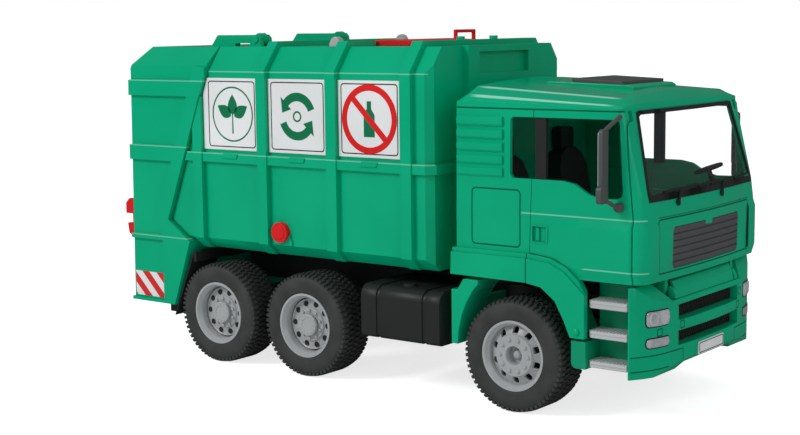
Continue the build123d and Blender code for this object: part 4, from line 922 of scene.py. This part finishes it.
class TRUCK_OT_tail_trim(bpy.types.Operator):
    """Adds the striped panels, hinge heads and rear lamps of the tailgate"""

    bl_idname = "truck.tail_trim"
    bl_label = "Build the tailgate trim"

    def execute(self, context):
        stripes = Moulding().block((-374.6, -339.4), (-89.4, -88.9), (45.6, 66.0))
        stripes.mirrored().piece("hazard_panels", "tailgate", "hazard")
        heads = Moulding()
        for start, end in ((-56.2, -57.1), (-41.4, -40.5)):
            heads.rod((-263.5, start, 256.5), (-263.5, end, 256.5), 2.9, 20)
        heads.mirrored().piece("hinge_heads", "chassis", "green", 0.2)
        self.lamps()
        return {"FINISHED"}

    def lamps(self):
        """Round rear lamps in dark holders on the tailgate's lower rear corners."""
        holder, lens = Moulding(), Moulding()
        holder.slab(round_rect((-84, 58), (-60, 70), 2.0), "x", -377.9, -375.6)
        for y in (-78, -66):
            lens.lathe([(4.0, -0.4), (4.0, 0.5), (3.2, 1.0), (0, 1.3)], spot(-377.9, y, 64), (-1, 0, 0), 24)
        holder.mirrored().piece("rear_lamp_holders", "tailgate", "black", 0.3)
        lens.mirrored().piece("rear_lamp_lenses", "tailgate", "red")


class TRUCK_OT_container_trim(bpy.types.Operator):
    """Adds the belt clips, knob plates and knob caps of the container"""

    bl_idname = "truck.container_trim"
    bl_label = "Build the container trim"

    def execute(self, context):
        clips = Moulding()
        for middle in (-261.5, -192.5, -123.3):
            outline = [(-8.5, 164.3), (7.0, 164.3), (8.5, 168.2), (-7.0, 168.2)]
            clips.slab([(middle + x, z) for x, z in outline], "y", -92.0, -90.8)
        clips.mirrored().piece("belt_clips", "chassis", "green", 0.5)
        outline = [(-218.5, 99.9), (-200.6, 99.9), (-200.6, 103.0), (-204.0, 108.0), (-218.5, 104.0)]
        plates = Moulding().slab(outline, "y", -89.4, -87.9)
        plates.mirrored().piece("knob_plates", "chassis", "green", 0.2)
        cap = [(0, -0.2), (5.6, -0.2), (5.4, 0.5), (4.6, 0.8), (0, 0.9)]
        caps = Moulding().lathe(cap, spot(-211, -92.5, 110), (0, -1, 0), 32)
        caps.mirrored().piece("knob_caps", "chassis", "red")
        return {"FINISHED"}


# Wipers: hinge and tip across, then the height of the hinge and the blade
WIPERS = ((-44.0, 14.0), (20.0, 68.0))
WIPER_FOOT, WIPER_BLADE = 148.0, 156.0
SEAL_WELD = 1e-6
# Mesh behind the bumper's slots: place forward, lower and upper edges, first and last place across, bars
MESH_X = 96.7
MESH_LEVELS = ((52.6, 61.4), (69.6, 78.9))
MESH_START, MESH_END = -45.0, 45.6
MESH_COUNT, MESH_PITCH, MESH_SLANT, MESH_BAR = 26, 3.6, 4.5, 0.35


class TRUCK_OT_front_trim(bpy.types.Operator):
    """Adds the wipers, number plate, slot bars and small marks of the front"""

    bl_idname = "truck.front_trim"
    bl_label = "Build the front trim"

    def execute(self, context):
        self.wipers()
        plate = Moulding().slab(round_rect((-19.4, 40.9), (19.4, 49.7), 1.0), "x", 103.6, 104.75)
        plate.piece("number_plate", "chassis", "white", 0.15)
        outer, inner = round_rect((-18.6, 41.7), (18.6, 48.9), 0.9), round_rect((-18.1, 42.2), (18.1, 48.4), 0.7)
        border = Moulding().band(outer, inner, "x", 104.7, 104.9)
        border.piece("plate_border", "chassis", "black", smooth=False)
        self.mesh_bars()
        self.seal()
        # Thin black strips beside the vanes: painted shadow in the slots at the vanes' edges
        slots = Moulding().block((97.6, 99.5), (-68.7, -68.2), (106, 133))
        slots.mirrored().piece("vane_slot_shadows", "cab", "black", smooth=False)
        outline = [(95.2, 83.3), (101.3, 83.3), (101.3, 86.5), (99.0, 90.5), (96.6, 91.5), (95.2, 91.5)]
        ends = Moulding().slab(outline, "y", -47.9, -44.5)
        ends.mirrored().piece("flap_brackets", "chassis", "green", 0.8)
        return {"FINISHED"}

    def seal(self):
        """Black seal round the windscreen, with a thick band at its foot."""
        seal = Moulding()
        outer = [(-78.0, 150.6), (-78.4, 156.0), (-71.0, 208.6), (-67.5, 209.3)]
        inner = [(-74.6, 154.8), (-75.8, 157.6), (-68.6, 205.4), (-66.4, 206.6)]
        outer, inner = (fine_loop(line + [(-y, z) for y, z in reversed(line)], 12) for line in (outer, inner))
        for index in range(len(outer)):
            after = (index + 1) % len(outer)
            corners = [outer[index], outer[after], inner[after], inner[index]]
            seal.prism(*([spot(nose_x(y, z) + proud, y, z) for y, z in corners] for proud in (-0.6, 0.5)))
        bmesh.ops.remove_doubles(seal.mesh, verts=seal.mesh.verts, dist=SEAL_WELD)
        seal.piece("windscreen_seal", "cab", "black")

    def wipers(self):
        """Two wipers that rest along the windscreen's lower edge, each on a short hanging arm."""
        arms = Moulding()
        for hinge, tip in WIPERS:
            foot, elbow, middle = nose_x(hinge, WIPER_FOOT), hinge + 4, (hinge + tip) / 2
            arms.rod((foot - 1, hinge, WIPER_FOOT), (foot + 1.6, hinge, WIPER_FOOT), 2.0, 16)
            top = (nose_x(elbow, WIPER_BLADE) + 1.2, elbow, WIPER_BLADE)
            arms.rod((foot + 1.2, hinge, WIPER_FOOT - 2), top, 1.0, 8)
            for start, end in ((hinge - 16, middle), (middle, tip)):
                low = (nose_x(start, WIPER_BLADE) + 1.0, start, WIPER_BLADE)
                high = (nose_x(end, WIPER_BLADE + 1) + 1.0, end, WIPER_BLADE + 1)
                arms.rod(low, high, 1.0, 8)
        arms.piece("wipers", "cab", "black")

    def mesh_bars(self):
        """Crossed bars of the dark mesh at the back of the bumper's slots."""
        bars = Moulding()
        for low, high in MESH_LEVELS:
            for index in range(MESH_COUNT):
                y = MESH_START + MESH_PITCH * index
                end = min(y + MESH_SLANT, MESH_END)
                bars.rod((MESH_X, y, low), (MESH_X, end, high), MESH_BAR, 6)
                bars.rod((MESH_X + 0.2, end, low), (MESH_X + 0.2, y, high), MESH_BAR, 6)
        bars.piece("slot_mesh", "chassis", "black")


# Lenses: outer and inner place across, lower and upper edge
LAMP_FACES = ((-78.4, -57.4, 68.7, 78.6), (-78.4, -57.4, 54.6, 60.4))
# Pockets of the frame's bumper behind them, in the same columns
LAMP_POCKETS = ((-82.3, -59.7, 66.7, 80.3), (-82.3, -57.7, 50.2, 59.8))
REFLECTORS = ((-72.8, 73.6), (-62.8, 73.6))
SEAT_RIM = 0.8
PLATE_STEPS = 24
# The bumper's skin: half of its flat part across, and how far forward that reaches in the middle
SKIN_FLAT, SKIN_MIDDLE, SKIN_BOW = 64.0, 105.0, 4.5


def skin_x(y):
    """How far forward the bumper reaches at a place across."""
    past = abs(y) - SKIN_FLAT
    if past < 0:
        return SKIN_MIDDLE - SKIN_BOW * (y / SKIN_FLAT) ** 2
    return SKIN_MIDDLE - SKIN_BOW - 0.18 * past - 0.0112 * past ** 2


class TRUCK_OT_lamps(bpy.types.Operator):
    """Builds the four lamp units of the bumper, each with its seat and reflectors"""

    bl_idname = "truck.lamps"
    bl_label = "Build the lamps"

    def execute(self, context):
        fill, seat, lens = Moulding(), Moulding(), Moulding()
        for limits in LAMP_POCKETS:
            self.plate(fill, limits, radius=0.1, depth=2.9, proud=-0.02)
        for outer, inner, low, high in LAMP_FACES:
            around = (outer - SEAT_RIM, inner + SEAT_RIM, low - SEAT_RIM, high + SEAT_RIM)
            self.plate(seat, around, radius=3.0, depth=0.6, proud=0.2)
            self.plate(lens, (outer, inner, low, high), radius=2.2, depth=0.4, proud=0.5)
        fill.mirrored().piece("lamp_surrounds", "chassis", "green")
        seat.mirrored().piece("lamp_seats", "chassis", "black")
        lens.mirrored().piece("lamp_units", "chassis", "lens", instead_of="headlamps")
        rings = Moulding()
        ring = [(4.3, -1.2), (4.3, 0.5), (3.6, 0.8), (3.2, 0.1), (0, -0.2)]
        for y, z in REFLECTORS:
            rings.lathe(ring, spot(skin_x(y) + 0.3, y, z), (0.94, -0.32, 0.0), 28)
        rings.mirrored().piece("lamp_reflectors", "chassis", "mirror")
        return {"FINISHED"}

    def plate(self, shape, limits, radius, depth, proud):
        """Plate with rounded corners that follows the bumper's skin."""
        outer, inner, low, high = limits
        rings = []
        for step in range(PLATE_STEPS + 1):
            y = outer + (inner - outer) * step / PLATE_STEPS
            near = max(0.0, radius - min(y - outer, inner - y))
            dip = radius - math.sqrt(max(0.0, radius ** 2 - near ** 2))
            back, front = skin_x(y) - depth, skin_x(y) + proud
            places = ((back, low + dip), (front, low + dip), (front, high - dip), (back, high - dip))
            rings.append([shape.mesh.verts.new(spot(x, y, z)) for x, z in places])
        faces = [shape.mesh.faces.new(rings[0]), shape.mesh.faces.new(rings[-1][::-1])]
        for first, second in zip(rings, rings[1:]):
            for index in range(4):
                after = (index + 1) % 4
                faces.append(shape.mesh.faces.new((first[index], second[index], second[after], first[after])))
        bmesh.ops.recalc_face_normals(shape.mesh, faces=faces)


class TRUCK_OT_roof_plate(bpy.types.Operator):
    """Builds the thin dark plate on the cab's roof and the low platform under it"""

    bl_idname = "truck.roof_plate"
    bl_label = "Build the roof plate"

    def execute(self, context):
        outline = [(-9.5, 215), (-9.5, 225.4), (-7.0, 226.0), (57.0, 224.0), (60.0, 222.6), (60.0, 215)]
        Moulding().slab(outline, "y", -31.5, 31.5).piece("roof_platform", "cab", "green", 0.9)
        plate = Moulding().slab([(10.5, 225.2), (10.5, 228.2), (50.8, 226.4), (50.8, 223.9)], "y", -30, 30)
        plate.piece("roof_plate", "cab", "grille", 0.5, instead_of="roof_hatch")
        return {"FINISHED"}


# Parts of a mirror: inner and outer edge, lower and upper edge, corner radius, rear and front face
MIRROR_CASES = ((95.5, 103.5, 159.5, 199.0, 2.4, 73.4, 76.8), (96.1, 106.0, 151.0, 162.5, 2.4, 73.0, 77.2))
MIRROR_GLASSES = ((96.3, 102.7, 161.0, 197.5, 1.6, 72.8, 73.5), (97.3, 105.2, 152.2, 159.6, 1.6, 72.8, 73.5))


class TRUCK_OT_mirrors(bpy.types.Operator):
    """Builds the slim door mirrors on their arms"""

    bl_idname = "truck.mirrors"
    bl_label = "Build the mirrors"

    def execute(self, context):
        for side, sign in SIDES:
            case = self.plates(MIRROR_CASES, sign)
            foot = [(0, -3), (3.2, -3), (3.2, 3.4), (2.4, 4.3), (0, 4.6)]
            case.lathe(foot, spot(81, sign * 88.0, 147.8), (0, sign, 0), 24)
            case.rod((81, sign * 91, 147.8), (76.0, sign * 98.5, 153.0), 1.4)
            case.rod((80.0, sign * 85.5, 207.0), (75.4, sign * 98.5, 198.0), 1.5)
            case.piece(f"mirror_{side}", f"door_{side}", "grille", 0.6, instead_of=f"door_mirror_{side}")
            self.plates(MIRROR_GLASSES, sign).piece(f"mirror_faces_{side}", f"door_{side}", "mirror", 0.1)
        return {"FINISHED"}

    def plates(self, rows, sign):
        """Upright plates with rounded corners on one side of the cab."""
        shape = Moulding()
        for near, far, low, high, radius, rear, front in rows:
            near, far = sorted((sign * near, sign * far))
            shape.slab(round_rect((near, low), (far, high), radius), "x", rear, front)
        return shape


class TRUCK_OT_cab_trim(bpy.types.Operator):
    """Adds the raised frames round the door handles and the arch pins"""

    bl_idname = "truck.cab_trim"
    bl_label = "Build the cab trim"

    def execute(self, context):
        outer = round_rect((13.4, 119.4), (26.6, 132.1), 1.8)
        inner = round_rect((14.5, 120.5), (25.5, 131.0), 0.8)
        pin = [(0, -1), (2.3, -1), (2.3, 0.9), (1.7, 1.3), (0, 1.4)]
        for side, sign in SIDES:
            handle = Moulding().band(outer, inner, "y", *sorted((sign * 87.8, sign * 88.5)))
            handle.piece(f"door_handle_{side}", f"door_{side}", "green")
            head = Moulding().lathe(pin, spot(50.9, sign * 92, 62.7), (0, sign, 0), 24)
            head.piece(f"arch_pin_{side}", "cab", "green")
        return {"FINISHED"}


# Lower and upper face of each step tread, their plan and one of their ridges
TREADS = ((39.6, 43.9), (59.6, 64.4), (79.6, 84.8))
TREAD_PLAN = [(57.6, -72.3), (57.6, -86.5), (61.0, -89.3), (87.4, -89.3), (87.4, -72.3)]
TREAD_RIDGE = ((-0.5, -73.5), (0.6, -73.5), (1.9, -88.4), (0.8, -88.4))
TREAD_NOSE = ((60.5, 87.3), (-89.9, -89.1))


class TRUCK_OT_step_trim(bpy.types.Operator):
    """Builds the step treads with their ridges"""

    bl_idname = "truck.step_trim"
    bl_label = "Build the step treads"

    def execute(self, context):
        treads, ridges = Moulding(), Moulding()
        for low, high in TREADS:
            treads.slab(TREAD_PLAN, "z", low, high)
            ridges.block(*TREAD_NOSE, (high - 1.8, high - 0.5))
            ridges.block(*TREAD_NOSE, (low + 0.6, low + 1.6))
            for index in range(11):
                ridge = [(60.0 + 2.5 * index + x, y) for x, y in TREAD_RIDGE]
                ridges.slab(ridge, "z", high - 0.2, high + 0.4)
        treads.mirrored().piece("ridged_treads", "chassis", "tread", 0.5, instead_of="step_treads")
        ridges.mirrored().piece("tread_ridges", "chassis", "tread", 0.15)
        return {"FINISHED"}


FLOOR_REACH = 6
FLOOR_DEPTH = 0.002
FLOOR_GLOW = 0.75
WORLD_LIGHT = 0.45
GLOSS_LIGHT = 0.1
# Columns: name, place, target, share of the main light's power, size
STUDIO_LIGHTS = (
    ("key", (-0.9, -1.7, 1.4), (0.0, 0.0, 0.1), 1.3, 0.6),
    ("front", (1.6, -0.6, 0.9), (0.1, 0.0, 0.1), 0.2, 0.8),
    ("top", (0.0, 0.3, 1.9), (0.0, 0.0, 0.1), 0.1, 1.2),
)
# Camera: place in millimetres from the front axle, then turn, drop and roll in degrees
CAMERA_PLACE = (548.63, -937.70, 268.62)
CAMERA_ANGLES = (37.261, 7.451, -0.736)
CAMERA_LENS = 67.29
CAMERA_SENSOR = 36.0
CAMERA_NEAR = 0.01


class TRUCK_OT_stage(bpy.types.Operator):
    """Sets the pale floor, the studio lights and the camera"""

    bl_idname = "truck.stage"
    bl_label = "Set the stage"

    def execute(self, context):
        self.floor()
        self.world()
        for name, place, target, power, size in STUDIO_LIGHTS:
            self.light(name, place, target, power * sizes().lamp_power, size)
        self.camera()
        return {"FINISHED"}

    def rays(self, finish, *kinds):
        """Mix factor that is 1 for rays of any of these kinds."""
        outputs = finish.node("ShaderNodeLightPath").socket.node.outputs
        first, *others = (Value(finish, outputs[f"Is {kind} Ray"]) for kind in kinds)
        for other in others:
            first = first.most(other)
        return first

    def mix(self, finish, factor, first, second):
        """Mixes two shaders."""
        return finish.node("ShaderNodeMixShader", None, {0: factor, 1: first, 2: second})

    def floor(self):
        """Large pale floor that keeps the truck's soft shadow."""
        finish = Finish("floor_white")
        finish.surface(Base_Color=(0.9, 0.9, 0.9, 1.0), Roughness=0.7, Specular_IOR_Level=0.1)
        plain = Value(finish, finish.shader.outputs[0])
        glow = finish.node("ShaderNodeEmission", None, {"Color": (1, 1, 1, 1), "Strength": FLOOR_GLOW})
        bright = finish.node("ShaderNodeAddShader", None, {0: plain, 1: glow})
        dark = finish.node("ShaderNodeBsdfDiffuse", None, {"Color": (0.16, 0.17, 0.17, 1)})
        mixed = self.mix(finish, self.rays(finish, "Camera", "Transmission"), plain, bright)
        finish.feed(finish.end.inputs[0], self.mix(finish, self.rays(finish, "Glossy"), mixed, dark))
        corners = [(x * FLOOR_REACH, y * FLOOR_REACH) for x, y in ((-1, -1), (1, -1), (1, 1), (-1, 1))]
        shape = Moulding().prism(*([(x, y, z) for x, y in corners] for z in (-FLOOR_DEPTH, 0)))
        shape.placed("floor", finish.material)

    def world(self):
        """White surround, plain for the camera, softer as a light and dark in reflections."""
        world = bpy.data.worlds.new("studio")
        bpy.context.scene.world = world
        world.use_nodes = True
        finish = Finish("studio_nodes")
        bpy.data.materials.remove(finish.material)
        finish.tree = world.node_tree
        finish.tree.nodes.clear()
        lights = ((0.93, 0.97, 1.0, 1), WORLD_LIGHT), ((1, 1, 1, 1), GLOSS_LIGHT), ((1, 1, 1, 1), 1.0)
        soft, dark, plain = (
            finish.node("ShaderNodeBackground", None, {"Color": colour, "Strength": strength})
            for colour, strength in lights
        )
        mixed = self.mix(finish, self.rays(finish, "Glossy"), soft, dark)
        mixed = self.mix(finish, self.rays(finish, "Camera", "Transmission"), mixed, plain)
        end = finish.tree.nodes.new("ShaderNodeOutputWorld")
        finish.feed(end.inputs[0], mixed)

    def light(self, name, place, target, power, size):
        """Square soft light aimed at a point."""
        data = bpy.data.lights.new(name, "AREA")
        data.energy = power
        data.size = size
        obj = bpy.data.objects.new(name, data)
        obj.location = place
        obj.rotation_euler = (Vector(target) - Vector(place)).to_track_quat("-Z", "Y").to_euler()
        bpy.context.scene.collection.objects.link(obj)

    def camera(self):
        """Camera at the right front, slightly above the truck."""
        turn, drop, roll = (math.radians(angle) for angle in CAMERA_ANGLES)
        rotation = Matrix.Rotation(turn, 4, "Z") @ Matrix.Rotation(math.pi / 2 - drop, 4, "X")
        data = bpy.data.cameras.new("camera")
        data.lens = CAMERA_LENS
        data.sensor_width = CAMERA_SENSOR
        data.clip_start = CAMERA_NEAR
        obj = bpy.data.objects.new("camera", data)
        obj.matrix_world = Matrix.Translation(spot(*CAMERA_PLACE)) @ rotation @ Matrix.Rotation(roll, 4, "Z")
        bpy.context.scene.collection.objects.link(obj)
        bpy.context.scene.camera = obj
        bpy.context.scene.view_settings.view_transform = "Standard"


class TRUCK_PT_sidebar(bpy.types.Panel):
    """Lists the truck's building steps and settings"""

    bl_idname = "TRUCK_PT_sidebar"
    bl_label = "Play Refuse Truck"
    bl_space_type = "VIEW_3D"
    bl_region_type = "UI"
    bl_category = "Truck"

    def draw(self, context):
        for settings in (context.scene.truck_paint, context.scene.truck_sizes):
            for name in type(settings).__annotations__:
                self.layout.prop(settings, name)
        for step in STEPS:
            self.layout.operator(step.bl_idname)


STEPS = (
    TRUCK_OT_mouldings,
    TRUCK_OT_tyres,
    TRUCK_OT_wheel_trim,
    TRUCK_OT_signs,
    TRUCK_OT_tail_trim,
    TRUCK_OT_container_trim,
    TRUCK_OT_front_trim,
    TRUCK_OT_lamps,
    TRUCK_OT_roof_plate,
    TRUCK_OT_mirrors,
    TRUCK_OT_cab_trim,
    TRUCK_OT_step_trim,
    TRUCK_OT_stage,
)
CLASSES = (TruckPaint, TruckSizes, *STEPS, TRUCK_PT_sidebar)


def register():
    for item in CLASSES:
        bpy.utils.register_class(item)
    bpy.types.Scene.truck_paint = PointerProperty(type=TruckPaint)
    bpy.types.Scene.truck_sizes = PointerProperty(type=TruckSizes)


def unregister():
    del bpy.types.Scene.truck_paint
    del bpy.types.Scene.truck_sizes
    for item in reversed(CLASSES):
        bpy.utils.unregister_class(item)


def main():
    """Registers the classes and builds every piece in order."""
    register()
    for step in STEPS:
        space, name = step.bl_idname.split(".")
        getattr(getattr(bpy.ops, space), name)()


if __name__ == "__main__":
    main()
